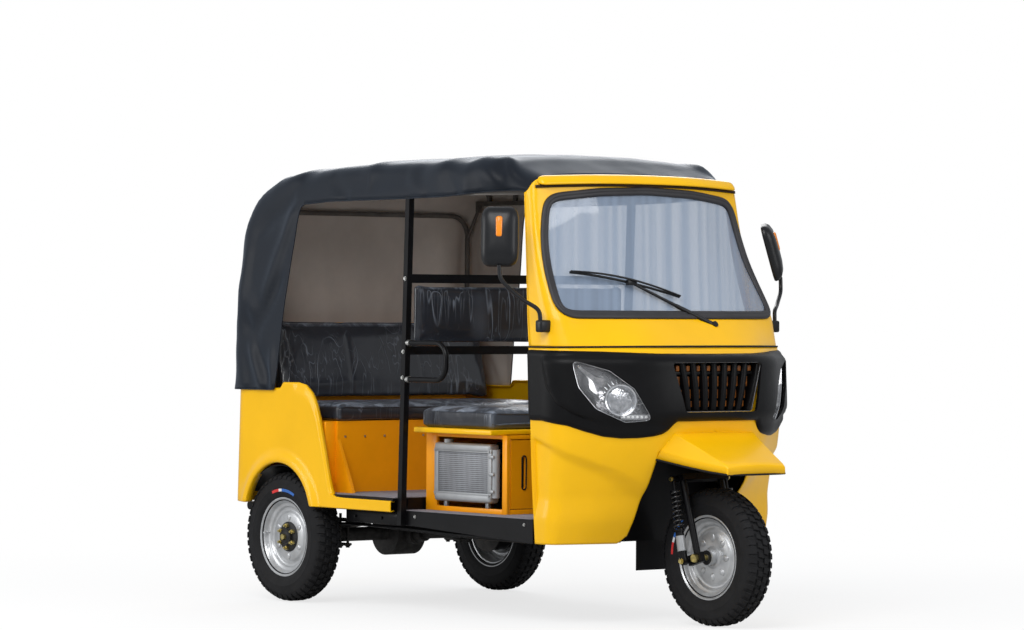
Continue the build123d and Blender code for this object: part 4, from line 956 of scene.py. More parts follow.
outer_edge = [outer_point(spot) for spot in screen_outline]
for corner in (Vector((-1, SEAM_TOP_Z)), Vector((1, SEAM_TOP_Z)), Vector((-1, header_z(1.0))),
               Vector((1, header_z(1.0)))):
    near = min(range(len(outer_edge)), key=lambda k: (outer_edge[k] - corner).length)
    outer_edge[near] = corner
SURROUND_ROWS = 18
mesh = bmesh.new()
rows = []
for row in range(SURROUND_ROWS + 1):
    t = row / SURROUND_ROWS
    ring = []
    for inner, outer in zip(screen_outline, outer_edge):
        share = inner.x / cowl_length(inner.y)
        z = inner.y + (outer.y - inner.y) * t
        ring.append(skin((share + (outer.x - share) * t) * cowl_length(z), z))
    rows.append(ring)
rings(mesh, rows)
strip_rise = header_z(1.0) - SEAM_Z - 0.004
for side in (-1, 1):
    sheet_over(mesh, 60, 4,
               lambda u, v: skin_at(side * (cowl_length(SEAM_Z + strip_rise * u) + ROLL * v - 0.0004),
                                    SEAM_TOP_Z + strip_rise * u), flip=side < 0)
normals_out(mesh)
piece = fit("screen_surround_skin", mesh, "body", body_yellow, instead_of=["screen_surround"],
            crease=50)
thicken(piece, PANEL_WALL)

# rain lip along the header: height above its lower edge, and how far out of the skin
LIP = [(0.043, -0.004), (0.040, 0.006), (0.034, 0.016), (0.024, 0.023), (0.012, 0.028), (0.004, 0.029),
       (0.000, 0.026), (0.001, 0.018), (0.005, 0.006), (0.007, -0.004)]
LIP_REACH = 0.900                # share of the header that the lip runs along
LIP_Z = (1.729, 0.016)


def lip_shape(u, v):
    share = (u * 2 - 1) * LIP_REACH
    end = (1 - min(1.0, max(0.0, (abs(share) - LIP_REACH + 0.055) / 0.055)) ** 2) ** 0.5
    at = v * (len(LIP) - 1)
    low = min(int(at), len(LIP) - 2)
    rise, out = (LIP[low][k] + (LIP[low + 1][k] - LIP[low][k]) * (at - low) for k in (0, 1))
    z = LIP_Z[0] + LIP_Z[1] * (1 - share * share) + 0.020 + (rise - 0.020) * (0.35 + 0.65 * end)
    return skin(share * (cowl_length(z) - 0.006), z, out * (0.15 + 0.85 * end) if out > 0 else out)


mesh = bmesh.new()
sheet_over(mesh, 150, 16, lip_shape)
normals_out(mesh)
fit("rain_lip", mesh, "body", body_yellow, crease=55)


# A thin dark brown strip along the foot of the lip: painted shade where the lip overhangs the header.
def lip_shade_strip(u, v):
    share = (u * 2 - 1) * (LIP_REACH + 0.02)
    z = LIP_Z[0] + LIP_Z[1] * (1 - share * share) + 0.0045 - 0.011 * v
    return skin(share * (cowl_length(z) - 0.006), z, 0.0022)


lip_painted_shade = surface("brown painted shade under lip", (0.035, 0.018, 0.008), 0.6, mottle=(0.2, 6), shine=0.2)
mesh = bmesh.new()
sheet_over(mesh, 120, 2, lip_shade_strip)
normals_out(mesh)
piece = fit("lip_shade_strip", mesh, "body", lip_painted_shade, crease=55)
thicken(piece, PANEL_WALL)

# ---------------------------------------------------------------- screen seal and windscreen
# A broad rubber seal runs round the opening and holds one bent sheet of laminated glass. It is an
# extruded section, two rounded ridges with a groove between them, pressed over the skin's edge.


def inset_outline(outline, amount):
    """Outline moved toward its inside."""
    found = []
    for before, here, after in zip([outline[-1]] + outline[:-1], outline, outline[1:] + [outline[0]]):
        along = (after - before).normalized()
        found.append(here + Vector((-along.y, along.x)) * amount)
    return found


SEAL_WIDTH = 0.034
SEAL_PROFILE = [(0.0, 0.0005), (0.06, 0.0060), (0.18, 0.0095), (0.42, 0.0100), (0.52, 0.0070), (0.62, 0.0085),
                (0.84, 0.0070), (0.95, 0.0030), (1.0, -0.0050)]
seal_rubber = surface("seal rubber", (0.034, 0.033, 0.036), 0.48, shine=0.3, mottle=(0.12, 10),
                      grain=(0.12, 500))
mesh = bmesh.new()
rows = []
for share, out in SEAL_PROFILE:
    ring = inset_outline(screen_outline, share * SEAL_WIDTH - 0.003)
    rows.append([skin(spot.x, spot.y, out) for spot in ring])
rings(mesh, rows)
normals_out(mesh)
piece = fit("screen_seal_rubber", mesh, "body", seal_rubber, instead_of=["screen_seal"],
            crease=60)
thicken(piece, 0.014)

# The glass's grey-blue colour and the slanting bands in how much of it covers are a painted reflection of a
# ribbed wall.
glass, tree, shader = new_finish("screen glass with painted reflection")
settle(shader, Base_Color=(0.27, 0.34, 0.45, 1), Roughness=0.05, Specular_IOR_Level=0.8)
place = node_value(tree, "TexCoord")
across = node_value(tree, "VectorMath", operation="DOT_PRODUCT")
across.inputs[1].default_value = (0.636, 0.772, 0)
painted_streak_noise = node_value(tree, "TexNoise", noise_dimensions="1D", Scale=27.0, Detail=1.0)
levels = node_value(tree, "MapRange", From_Min=0.36, From_Max=0.70, To_Min=0.54, To_Max=0.73)
wire(tree, (place, "Object", across, 0), (across, "Value", painted_streak_noise, "W"), (painted_streak_noise, "Fac", levels, "Value"),
     (levels, "Result", shader, "Alpha"))
glass_outline = inset_outline(screen_outline, SEAL_WIDTH - 0.014)
glass_z = (min(p.y for p in glass_outline) + 0.0005, max(p.y for p in glass_outline) - 0.0005)


def glass_half(z):
    widths = []
    for a, b in zip(glass_outline, glass_outline[1:] + [glass_outline[0]]):
        if (a.y - z) * (b.y - z) <= 0 and a.y != b.y:
            widths.append(abs(a.x + (b.x - a.x) * (z - a.y) / (b.y - a.y)))
    return max(widths) if widths else 0.0


def glass_shape(u, v):
    z = glass_z[0] + (glass_z[1] - glass_z[0]) * (0.5 - cos(pi * v) / 2)
    return skin((u * 2 - 1) * glass_half(z), z, -0.004)


mesh = bmesh.new()
sheet_over(mesh, 90, 46, glass_shape)
normals_out(mesh)
piece = fit("windscreen_glass", mesh, "body", glass, instead_of=["windscreen"], crease=60)
thicken(piece, 0.005)

# ---------------------------------------------------------------- headlamps
# Leaf-shaped lamps let into the slanting faces: chrome bowl, round fluted lens in a ring, a row of small
# lights along the foot and a clear cover.
SIDES = ((-1, "right"), (1, "left"))
LENS = (0.250, 0.893)
LENS_R = 0.058
RIBS = 28                        # short ribs that stand round the lens
chrome = surface("chrome reflector", (0.36, 0.355, 0.36), 0.10, metal=1.0, mottle=(0.55, 16))
lens_glass = surface("fluted lens", (0.40, 0.41, 0.43), 0.16, metal=0.75, coat=0.4, mottle=(0.3, 60))
cover_clear = surface("clear lamp cover", (0.5, 0.52, 0.55), 0.03, coat=0.6, alpha=0.10)
led_white = surface("small lights", (0.93, 0.94, 0.96), 0.2, coat=0.6)
lamp_grey = surface("lamp foot", (0.34, 0.345, 0.35), 0.30, coat=0.3)


def lamp_point(run, z, out, side):
    """Point on the nose skin over a place in the lamp's face."""
    high = halved(0.0, cowl_length(z), 18,
                  lambda place: (on_line(z, place) - face_start).dot(face_run) > run)[1]
    return skin(side * high, z, out)


lamp_edge = evenly(lamp_outline, 72)
rim_bright = surface("bright lamp rim", (0.74, 0.75, 0.77), 0.14, metal=0.9, mottle=(0.1, 30))
lens_mid = Vector(LENS)
BOWL = [(0.0, 0.002), (0.0, 0.0135), (0.05, 0.0135), (0.09, 0.004), (0.25, -0.018), (0.55, -0.040),
        (1.0, -0.052)]
for side, name in SIDES:
    mesh = bmesh.new()
    loops = []
    for t, out in BOWL:
        goals = [lens_mid + (spot - lens_mid).normalized() * LENS_R * 0.9 for spot in lamp_edge]
        places = [spot.lerp(goal, t) for spot, goal in zip(lamp_edge, goals)]
        loops.append([lamp_point(place.x, place.y, out, side) for place in places])
    rings(mesh, loops, cap=True)
    normals_out(mesh)
    fit("headlamp_bowl_" + name, mesh, "body", chrome, instead_of=["headlamps"], crease=40)
    mesh = bmesh.new()
    circle = [Vector((cos(2 * pi * k / 48), sin(2 * pi * k / 48))) for k in range(48)]
    loops = [[lamp_point(LENS[0] + c.x * r, LENS[1] + c.y * r, out, side) for c in circle]
             for r, out in ((LENS_R + 0.007, -0.045), (LENS_R + 0.007, 0.000), (LENS_R + 0.003, 0.004),
                            (LENS_R - 0.002, 0.002), (LENS_R - 0.004, -0.010))]
    rings(mesh, loops)
    normals_out(mesh)
    for k in range(RIBS):
        turn = 2 * pi * k / RIBS
        rib = [lamp_point(LENS[0] + cos(turn) * (LENS_R + away), LENS[1] + sin(turn) * (LENS_R + away),
                          out, side) for away, out in ((0.008, -0.012), (0.024, -0.018))]
        add_tube(mesh, rib, 0.0020, 2)
    add_tube(mesh, [lamp_point(p.x, p.y, 0.0125, side) for p in lamp_edge + lamp_edge[:1]], 0.0030, 3)
    fit("headlamp_ring_" + name, mesh, "body", rim_bright, crease=40)
    mesh = bmesh.new()
    loops = []
    for step in range(14):
        r = (LENS_R - 0.003) * (1 - step / 14)
        crown = -0.008 + 0.016 * (1 - (r / LENS_R) ** 2)
        spots = [(LENS[0] + c.x * r, LENS[1] + c.y * r) for c in circle]
        loops.append([lamp_point(run, z, crown + 0.0016 * sin(run * 620) * cos(z * 300), side)
                      for run, z in spots])
    rings(mesh, loops, cap=True)
    normals_out(mesh)
    fit("headlamp_lens_" + name, mesh, "body", lens_glass, crease=30)
    mesh = bmesh.new()
    sheet_over(mesh, 16, 3, lambda u, v: lamp_point(0.250 + 0.112 * u, 0.8185 + 0.018 * v,
                                                    0.004 - 0.006 * v, side))
    normals_out(mesh)
    thicken(fit("headlamp_foot_" + name, mesh, "body", lamp_grey, crease=40), 0.003)
    mesh = bmesh.new()
    for k in range(6):
        spot = lamp_point(0.262 + 0.0175 * k, 0.8275, 0.002, side)
        bmesh.ops.create_uvsphere(mesh, u_segments=12, v_segments=8, radius=0.0058,
                                  matrix=Matrix.Translation(spot))
    fit("headlamp_lights_" + name, mesh, "body", led_white, crease=60)
    mesh = bmesh.new()
    loops = []
    for step in range(7):
        t = 1 - step / 7
        loops.append([lamp_point(LENS[0] + (p.x - LENS[0]) * t * 0.995, LENS[1] + (p.y - LENS[1]) * t * 0.995,
                                 0.0145 + 0.010 * (1 - t ** 2), side) for p in lamp_edge])
    rings(mesh, loops, cap=True)
    normals_out(mesh)
    thicken(fit("headlamp_cover_" + name, mesh, "body", cover_clear, crease=60), 0.0015)

# ---------------------------------------------------------------- grille
# Eight upright slots between seven slats in a recess of the black panel, a crosspiece near the top and
# orange backing that shows through the slots.
SLATS = 7
CROSSPIECE_Z = 0.998
slot_dark = surface("slot shadow", (0.010, 0.009, 0.008), 0.7)
slot_orange = surface("orange backing", (0.17, 0.052, 0.005), 0.5, mottle=(0.7, 34))
# The grille edge's grey is a painted highlight along the rim of the grille's recess.
edge_highlight_grey = surface("grille edge in painted highlight grey", (0.20, 0.20, 0.21), 0.35, metal=0.3)
nose_x = FRONT_X + COWL[3][5]


def grille_y(share, z):
    """y at a share of the grille's half width, for a height."""
    t = (z - GRILLE_LOW[1]) / (GRILLE_TOP[1] - GRILLE_LOW[1])
    return share * (GRILLE_LOW[0] + (GRILLE_TOP[0] - GRILLE_LOW[0]) * t)


mesh = bmesh.new()
loops = []
for out, grow in ((0.0075, 1.0), (0.004, 0.985), (-0.050, 0.975)):
    loops.append([Vector((nose_x + out + 0.006, y * grow, 0.9435 + (z - 0.9435) * grow))
                  for y, z in evenly(grille_outline, 90)])
rings(mesh, loops, cap=True)
normals_out(mesh)
bmesh.ops.reverse_faces(mesh, faces=mesh.faces)
fit("grille_recess", mesh, "body", slot_dark, instead_of=["grille"], crease=40)
mesh = bmesh.new()
for slat in range(SLATS + 2):
    outer = slat in (0, SLATS + 1)
    share = (slat / (SLATS + 1) * 2 - 1) * (0.965 if outer else 0.94)
    profile = []
    for step in range(13):
        z = GRILLE_LOW[1] + 0.006 + (GRILLE_TOP[1] - GRILLE_LOW[1] - 0.010) * step / 12
        y = grille_y(share, z)
        bulge = 0.006 * sin(pi * step / 12)
        width = 0.008 if outer else 0.0135
        profile.append([Vector((nose_x + x + bulge, y + w * width, z))
                        for w, x in ((-1, -0.030), (-1, -0.006), (-0.6, 0.000), (0, 0.002), (0.6, 0.000),
                                     (1, -0.006), (1, -0.030))])
    rings(mesh, profile, cap=True)
half = grille_y(0.93, CROSSPIECE_Z)
block(mesh, (nose_x - 0.034, -half, CROSSPIECE_Z - 0.006), (nose_x - 0.010, half, CROSSPIECE_Z + 0.006),
      0.002)
normals_out(mesh)
fit("grille_slats", mesh, "body", nose_black)
mesh = bmesh.new()
for slot in range(SLATS + 1):
    share = ((slot + 0.5) / (SLATS + 1) * 2 - 1) * 0.94
    y = grille_y(share, 1.017)
    block(mesh, (nose_x - 0.020, y - 0.0085, 1.006), (nose_x - 0.006, y + 0.0085, 1.028), 0.003)
    for z, height in ((0.965, 0.020), (0.916, 0.018), (0.877, 0.012)):
        y = grille_y(share, z)
        block(mesh, (nose_x - 0.030, y - 0.0080, z - height), (nose_x - 0.015, y + 0.0080, z + height), 0.002)
fit("grille_backing", mesh, "body", slot_orange)
rim_points = [(nose_x + 0.0105, y, z) for y, z in grille_outline]
mesh = bmesh.new()
add_tube(mesh, rim_points + [rim_points[0]], 0.0022, 3)
fit("grille_edge", mesh, "body", edge_highlight_grey, crease=60)

# ---------------------------------------------------------------- fender over the front wheel
# Folded yellow hood that reaches forward from the nose over the wheel, ridged along both sides, with a
# turned-down lip edged in black rubber.
# columns: x from the front axle, then half width and height of the ridge, the shoulder and the lip's foot
FENDER = [(-0.134, 0.238, 0.816, 0.271, 0.720, 0.274, 0.672),
          (-0.070, 0.222, 0.786, 0.255, 0.700, 0.257, 0.660),
          (0.046, 0.189, 0.729, 0.217, 0.670, 0.219, 0.636),
          (0.148, 0.166, 0.678, 0.181, 0.649, 0.183, 0.618),
          (0.214, 0.150, 0.647, 0.156, 0.639, 0.157, 0.610),
          (0.226, 0.147, 0.638, 0.152, 0.632, 0.153, 0.608)]
FENDER_CROWN = 0.007
FENDER_EDGE = 0.0045             # radius of its softened folds
mesh = bmesh.new()
sections = []
for dx, ridge, ridge_z, shoulder, shoulder_z, low, low_z in FENDER:
    x = FRONT_X + dx
    half = [(-low, low_z), (-shoulder, shoulder_z), (-ridge, ridge_z)]
    top = [(ridge * s, ridge_z + FENDER_CROWN * (1 - s * s)) for s in (-0.5, 0.0, 0.5)]
    sections.append([Vector((x, y, z)) for y, z in half + top + [(-y, z) for y, z in reversed(half)]])
made = rings(mesh, sections, closed=False)
low_z = FENDER[-1][6]
front = made[-1]
foot = [mesh.verts.new(Vector((v.co.x + 0.002, v.co.y, low_z))) for v in front[1:-1]]
bottom = [front[0]] + foot + [front[-1]]
for k in range(len(front) - 1):
    loop = [front[k], front[k + 1], bottom[k + 1], bottom[k]]
    loop = [v for n, v in enumerate(loop) if v not in loop[:n]]
    if len(loop) > 2:
        mesh.faces.new(loop)
normals_out(mesh)
if sum((f.normal.z for f in mesh.faces)) < 0:
    bmesh.ops.reverse_faces(mesh, faces=mesh.faces)
piece = fit("fender_shell", mesh, "body", body_yellow, instead_of=["front_fender"])
soften = piece.modifiers.new("soft edges", "BEVEL")
soften.width = FENDER_EDGE
soften.segments = 3
soften.limit_method = "ANGLE"
soften.angle_limit = radians(9)
thicken(piece, PANEL_WALL)
mesh = bmesh.new()
edge_points = [(FRONT_X + row[0], -row[5], row[6] - 0.001) for row in FENDER]
edge_points += [(FRONT_X + row[0], row[5], row[6] - 0.001) for row in reversed(FENDER)]
add_tube(mesh, edge_points, 0.0042, 3)
fit("fender_edging", mesh, "body", black_rubber, crease=60)

# ---------------------------------------------------------------- mirrors
# One on each side: a deep housing moulded in black plastic round its glass, with an orange reflector let
# into its front. Its bent steel arm is screwed to the foot of the pillar.
MIRROR_AT = (1.575, 0.735, 1.531)
MIRROR_HALF = (0.025, 0.074, 0.119)
HOUSING = [(-1.0, 0.90), (-0.96, 0.97), (-0.7, 1.0), (-0.2, 0.985), (0.35, 0.90), (0.75, 0.72), (0.95, 0.45),
           (1.0, 0.20)]          # share of the depth, scale of the outline
LEFT_LEAN = radians(14)          # the left mirror has been knocked a little out of true
LEFT_DROP = 0.040
ARM_FOOT = (1.700, 1.180)        # x from the rear axle, height
mirror_black = surface("mirror black", (0.008, 0.0085, 0.010), 0.33, shine=0.3, mottle=(0.12, 7),
                       grain=(0.05, 600))
mirror_face = surface("mirror glass", (0.85, 0.88, 0.92), 0.03, metal=1.0)
reflector_orange = surface("orange reflector", (0.86, 0.25, 0.008), 0.25, coat=0.3)
for side, name in SIDES:
    lean, drop = (LEFT_LEAN, LEFT_DROP) if side > 0 else (0.0, 0.0)
    turn = Matrix.Rotation(lean, 4, "X") @ Matrix.Rotation(side * radians(45), 4, "Z") \
        @ Matrix.Rotation(radians(-5), 4, "Y")
    spot = Matrix.Translation(rear(MIRROR_AT[0], side * MIRROR_AT[1], MIRROR_AT[2] - drop)) @ turn
    outline = evenly(rounded([(-1, -1), (1, -1), (1, 1), (-1, 1)], 0.5, 10), 64)

    def housing(depth, grow):
        """Outline of the housing at a share of its depth, scaled."""
        return [spot @ Vector((depth * MIRROR_HALF[0], y * grow * MIRROR_HALF[1], z * grow * MIRROR_HALF[2]))
                for y, z in outline]

    mesh = bmesh.new()
    rings(mesh, [housing(*pair) for pair in HOUSING], cap=True)
    rings(mesh, [housing(-1.0, 0.90), housing(-0.90, 0.88)], cap=True)
    bmesh.ops.remove_doubles(mesh, verts=mesh.verts, dist=0.00005)
    foot = skin(side * run_at_x(ARM_FOOT[1], ARM_FOOT[0] + REAR_X - FRONT_X), ARM_FOOT[1], 0.0)
    low = spot @ Vector((0, 0, -MIRROR_HALF[2] + 0.006))
    elbow = foot + Vector((-0.002, side * 0.030, 0.066))
    path = [low, low + Vector((0.002, 0, -0.040)), low + Vector((0.008, -side * 0.004, -0.062)),
            low.lerp(elbow, 0.34) + Vector((0, 0, -0.046)), low.lerp(elbow, 0.62) + Vector((0, 0, -0.036)),
            low.lerp(elbow, 0.86) + Vector((0, 0, -0.012)), elbow + Vector((0, 0, -0.010)),
            elbow + Vector((0.001, side * 0.002, -0.036)), foot + Vector((0.0, side * 0.030, 0.004))]
    add_tube(mesh, path, 0.0085, 4)
    block(mesh, (foot.x - 0.019, foot.y - 0.010 if side > 0 else foot.y - 0.044, foot.z - 0.024),
          (foot.x + 0.019, foot.y + 0.044 if side > 0 else foot.y + 0.010, foot.z + 0.024), 0.008, 3)
    normals_out(mesh)
    fit("mirror_housing_" + name, mesh, "body", mirror_black, instead_of=["mirrors"],
        crease=45)
    mesh = bmesh.new()
    rings(mesh, [housing(-0.93, 0.86), housing(-0.93, 0.5)], cap=True)
    normals_out(mesh)
    if (mesh.faces[0].normal.dot(turn @ Vector((-1, 0, 0)))) < 0:
        bmesh.ops.reverse_faces(mesh, faces=mesh.faces)
    fit("mirror_glass_" + name, mesh, "body", mirror_face, crease=60)
    mesh = bmesh.new()
    block(mesh, (0.3 * MIRROR_HALF[0], -0.0140, -0.005), (1.16 * MIRROR_HALF[0], 0.0140, 0.078), 0.010, 4)
    bmesh.ops.transform(mesh, matrix=spot, verts=mesh.verts)
    fit("mirror_reflector_" + name, mesh, "body", reflector_orange, crease=40)

# ---------------------------------------------------------------- wiper
# One black steel arm on a spindle below the glass, left of the middle, with a long rubber blade in a
# sprung carrier that rests on the glass.
WIPER_PIVOT = (1.852, 0.150, 1.186)
WIPER_TIP = (1.764, -0.215, 1.354)
BLADE = ((1.692, -0.470, 1.394), (1.757, -0.255, 1.362), (1.792, 0.020, 1.300))
mesh = bmesh.new()
shift = Vector((REAR_X, 0, 0))
pivot, tip = Vector(WIPER_PIVOT) + shift, Vector(WIPER_TIP) + shift
lift = Vector((0.012, 0, 0.007))
bar(mesh, pivot - Vector((0.030, 0, 0.018)), pivot + Vector((0.012, 0, 0.006)), 0.013, 20)
elbow = pivot.lerp(tip, 0.46)
bar(mesh, pivot, elbow, 0.0115, 12, 0.0085)
bar(mesh, elbow, tip + (tip - elbow) * 0.05, 0.0070, 12, 0.0052)
low_end, mid_spot, high_end = [Vector(p) + shift for p in BLADE]
blade_line = []
for step in range(17):
    t = step / 16
    a, b = low_end.lerp(mid_spot, t), mid_spot.lerp(high_end, t)
    bow = a.lerp(b, t) + (mid_spot - (low_end + 2 * mid_spot + high_end) / 4) * 4 * t * (1 - t)
    blade_line.append(bow)
add_tube(mesh, [p + lift * (0.3 + 1.1 * sin(pi * n / 16)) for n, p in enumerate(blade_line)], 0.0042, 3)
add_tube(mesh, [p - lift * 0.25 for p in blade_line], 0.0052, 3)
block(mesh, tip - Vector((0.006, 0.024, 0.011)), tip + Vector((0.012, 0.024, 0.011)), 0.004)
normals_out(mesh)
fit("wiper_arm", mesh, "body", mirror_black, instead_of=["wiper"], crease=40)

# ---------------------------------------------------------------- rear body
# One yellow skin round both sides and the back, open in front. Its edges are turned in, a broad soft
# flare runs round each wheel arch, and the front of each side ends in a low sill under the doorway.
TUB_HALF = 0.640
TUB_LOW_Z = 0.411
TUB_TOP_Z = 0.904
TUB_REAR = [(0.411, -0.358), (0.944, -0.338)]
TUB_CORNER = 0.080
TUB_FRONT_X = 0.765
TUB_END_X = -0.258               # where the side turns into its rear corner
ARCH_R = 0.233
ARCH_Z = 0.355
TURN_IN = 0.022
# top edge of a side: x, height, radius of its corner
SIDE_TOP = [(-0.258, 0.904), (-0.004, 0.904), (0.004, 0.906), (0.018, 0.929), (0.120, 0.930), (0.168, 0.921),
            (0.212, 0.890), (0.243, 0.845), (0.268, 0.782), (0.300, 0.672), (0.330, 0.566), (0.350, 0.500),
            (0.366, 0.470), (0.392, 0.459), (0.450, 0.457), (0.765, 0.457)]


def tub_top(x):
    return table_at(SIDE_TOP, x)


def tub_low(x):
    return max(TUB_LOW_Z, ARCH_Z + sqrt(max(0.0, ARCH_R ** 2 - x ** 2)))


def tub_swell(x, z):
    """How far the side stands out of its flat face."""
    reach = sqrt(x * x + (z - ARCH_Z) ** 2) - ARCH_R
    flare = 0.017 * (1 - smooth_step(reach, 0.016, 0.062)) - 0.003 * (1 - smooth_step(reach, 0.0, 0.012))
    roll = 0.0
    if x > 0.10 and z > 0.47:
        roll = -0.007 * (1 - smooth_step(tub_top(x) - z, 0.0, 0.050))
    return flare + roll


# stations along the side: x from the front end back to the corner, closer where the edges are steep
STEEP_STEP = 0.0045
FLAT_STEP = 0.011
stations = []
x = TUB_FRONT_X
while x > TUB_END_X:
    stations.append(x)
    steep = 0.13 < x < 0.40 or -0.245 < x < -0.205
    x -= STEEP_STEP if steep else FLAT_STEP
TUB_ROWS = 40
CORNER_STEPS = 10
BACK_STEPS = 22
mesh = bmesh.new()
for side in (-1, 1):
    columns = []
    for x in stations + [TUB_END_X]:
        low, top = tub_low(x), tub_top(x)
        column = [(x, low + 0.003, TUB_HALF - TURN_IN), (x, low, TUB_HALF + tub_swell(x, low) - 0.005)]
        for row in range(TUB_ROWS + 1):
            z = low + 0.003 + (top - low - 0.006) * row / TUB_ROWS
            column.append((x, z, TUB_HALF + tub_swell(x, z)))
        column += [(x, top, TUB_HALF + tub_swell(x, top) - 0.005), (x, top - 0.003, TUB_HALF - TURN_IN)]
        columns.append(column)
    for step in range(1, CORNER_STEPS + BACK_STEPS + 1):
        turn = min(1.0, step / CORNER_STEPS) * pi / 2
        slide = max(0.0, (step - CORNER_STEPS) / BACK_STEPS)
        column = []
        for row in range(-2, TUB_ROWS + 3):
            share = min(max(row, 0), TUB_ROWS) / TUB_ROWS
            z = TUB_LOW_Z + 0.003 + (TUB_TOP_Z - TUB_LOW_Z - 0.006) * share
            inner = TUB_CORNER
            if row in (-2, TUB_ROWS + 2):
                inner -= TURN_IN
            elif row in (-1, TUB_ROWS + 1):
                inner -= 0.005
                z += 0.003 if row > 0 else -0.003
            rear_x = table_at(TUB_REAR, z)
            swell = 0.004 * smooth_step(slide, 0.0, 0.3) * smooth_step(z, 0.44, 0.50) \
                * (1 - smooth_step(z, 0.82, 0.87))
            x = rear_x + TUB_CORNER - (inner + swell) * sin(turn)
            y = (TUB_HALF - TUB_CORNER) * (1 - slide) + inner * cos(turn)
            column.append((x, z, y))
        columns.append(column)
    rings(mesh, [[rear(x, side * y, z) for x, z, y in column] for column in columns], closed=False)
bmesh.ops.remove_doubles(mesh, verts=mesh.verts, dist=0.0003)
normals_out(mesh)
far = max(mesh.faces, key=lambda f: f.calc_center_median().y)
if far.normal.y < 0:
    bmesh.ops.reverse_faces(mesh, faces=mesh.faces)
piece = fit("rear_body_skin", mesh, "body", body_yellow, instead_of=["rear_side_panels", "rear_panel"],
            crease=60)
thicken(piece, PANEL_WALL)

# The wheel houses take the black enamel for the dark between tyre and arch: painted shade.
paint(black_enamel, "wheel_houses")

# ---------------------------------------------------------------- tail lamps, plate and bumper
# A red and amber lamp cluster in a black base on each rear corner, a blank plate on its bracket and a
# round black bumper bar.
lamp_red = surface("red lens", (0.42, 0.010, 0.008), 0.14, coat=0.9)
lamp_amber = surface("amber lens", (0.78, 0.20, 0.010), 0.14, coat=0.9)
lamp_white = surface("white lens", (0.75, 0.76, 0.78), 0.14, coat=0.9)
plate_white = surface("plate white", (0.80, 0.80, 0.78), 0.42, mottle=(0.05, 9))
TAIL_Y = 0.500
TAIL_Z = (0.640, 0.790)
TAIL_RIBS = 7
for side, name in SIDES:
    back = REAR_X - 0.384
    mesh = bmesh.new()
    block(mesh, (back + 0.010, side * TAIL_Y - 0.038, TAIL_Z[0]),
          (back + 0.044, side * TAIL_Y + 0.038, TAIL_Z[1]), 0.008, 3)
    fit("tail_lamp_base_" + name, mesh, "body", black_rubber, instead_of=["tail_lamps"],
        crease=45)
    for finish, z_low, z_high, label in ((lamp_red, 0.648, 0.708, "red"), (lamp_amber, 0.710, 0.746, "amber"),
                                         (lamp_white, 0.748, 0.782, "white")):
        mesh = bmesh.new()
        block(mesh, (back - 0.002, side * TAIL_Y - 0.031, z_low),
              (back + 0.016, side * TAIL_Y + 0.031, z_high), 0.006, 3)
        for rib in range(TAIL_RIBS):
            y = side * TAIL_Y - 0.024 + 0.008 * rib
            block(mesh, (back - 0.0032, y - 0.0012, z_low + 0.007), (back, y + 0.0012, z_high - 0.007))
        fit("tail_lamp_" + label + "_" + name, mesh, "body", finish, crease=45)
PLATE_Z = (0.520, 0.680)
plate_x = REAR_X - 0.366
mesh = bmesh.new()
face = [Vector((plate_x - 0.0005, y, z)) for y, z in evenly(rounded(
    [(-0.140, PLATE_Z[0]), (0.140, PLATE_Z[0]), (0.140, PLATE_Z[1]), (-0.140, PLATE_Z[1])], 0.012), 96)]
border = [Vector((plate_x - 0.0005, p.y * 0.965, (p.z - 0.6) * 0.94 + 0.6)) for p in face]
inner = [Vector((plate_x + 0.0012, p.y * 0.955, (p.z - 0.6) * 0.925 + 0.6)) for p in face]
back_edge = [Vector((plate_x + 0.006, p.y, p.z)) for p in face]
rings(mesh, [back_edge, face, border, inner], cap=True)
normals_out(mesh)
fit("number_plate_blank", mesh, "body", plate_white, instead_of=["number_plate"])
mesh = bmesh.new()
for side in (-1, 1):
    bolt(mesh, (plate_x + 0.0005, side * 0.075, 0.660), (-1, 0, 0), 0.006)
block(mesh, (plate_x + 0.006, -0.040, PLATE_Z[0]), (plate_x + 0.016, 0.040, PLATE_Z[1]), 0.001)
fit("number_plate_bracket", mesh, "body", bright_zinc)
paint(black_enamel, "rear_bumper")

# ---------------------------------------------------------------- canopy
# One coated fabric cover stretched over the roof, the back and the rear corners, cut away at the sides.
# Its outer face is black, its lining pale brown. Folds follow the pull between the frame and the hems.
# width of the cover at a height, and x of its back from the rear axle at a height
COVER_WIDTH = [(0.880, 0.647), (0.960, 0.643), (1.250, 0.641), (1.450, 0.629), (1.660, 0.615), (1.900, 0.605)]
COVER_BACK = [(0.880, -0.364), (0.960, -0.359), (1.156, -0.356), (1.240, -0.346), (1.328, -0.336),
              (1.430, -0.332), (1.526, -0.331), (1.600, -0.328), (1.644, -0.318), (1.716, -0.276),
              (1.774, -0.212), (1.815, -0.130), (1.832, -0.010), (1.846, 0.085), (1.865, 0.260)]
COVER_TOP = [(-0.40, 1.580), (-0.298, 1.676), (-0.248, 1.740), (-0.182, 1.796), (-0.093, 1.832),
             (0.038, 1.846), (0.126, 1.854), (0.290, 1.866), (0.600, 1.874), (1.000, 1.879), (1.300, 1.874),
             (1.370, 1.858), (1.430, 1.829), (1.512, 1.792)]
HEM = [(-0.40, 0.894), (-0.060, 0.896), (-0.029, 1.133), (-0.014, 1.224), (0.027, 1.458), (0.053, 1.632),
       (0.066, 1.668), (0.090, 1.679), (0.282, 1.690), (0.554, 1.692), (0.779, 1.693), (1.078, 1.698),
       (1.267, 1.711), (1.454, 1.720), (1.600, 1.722)]
TAPER = (1.200, 0.272)
POLE_X = 0.25
COVER_FRONT_X = 1.512
CUT_X = 0.10                     # in front of it the side is cut away up to the roof
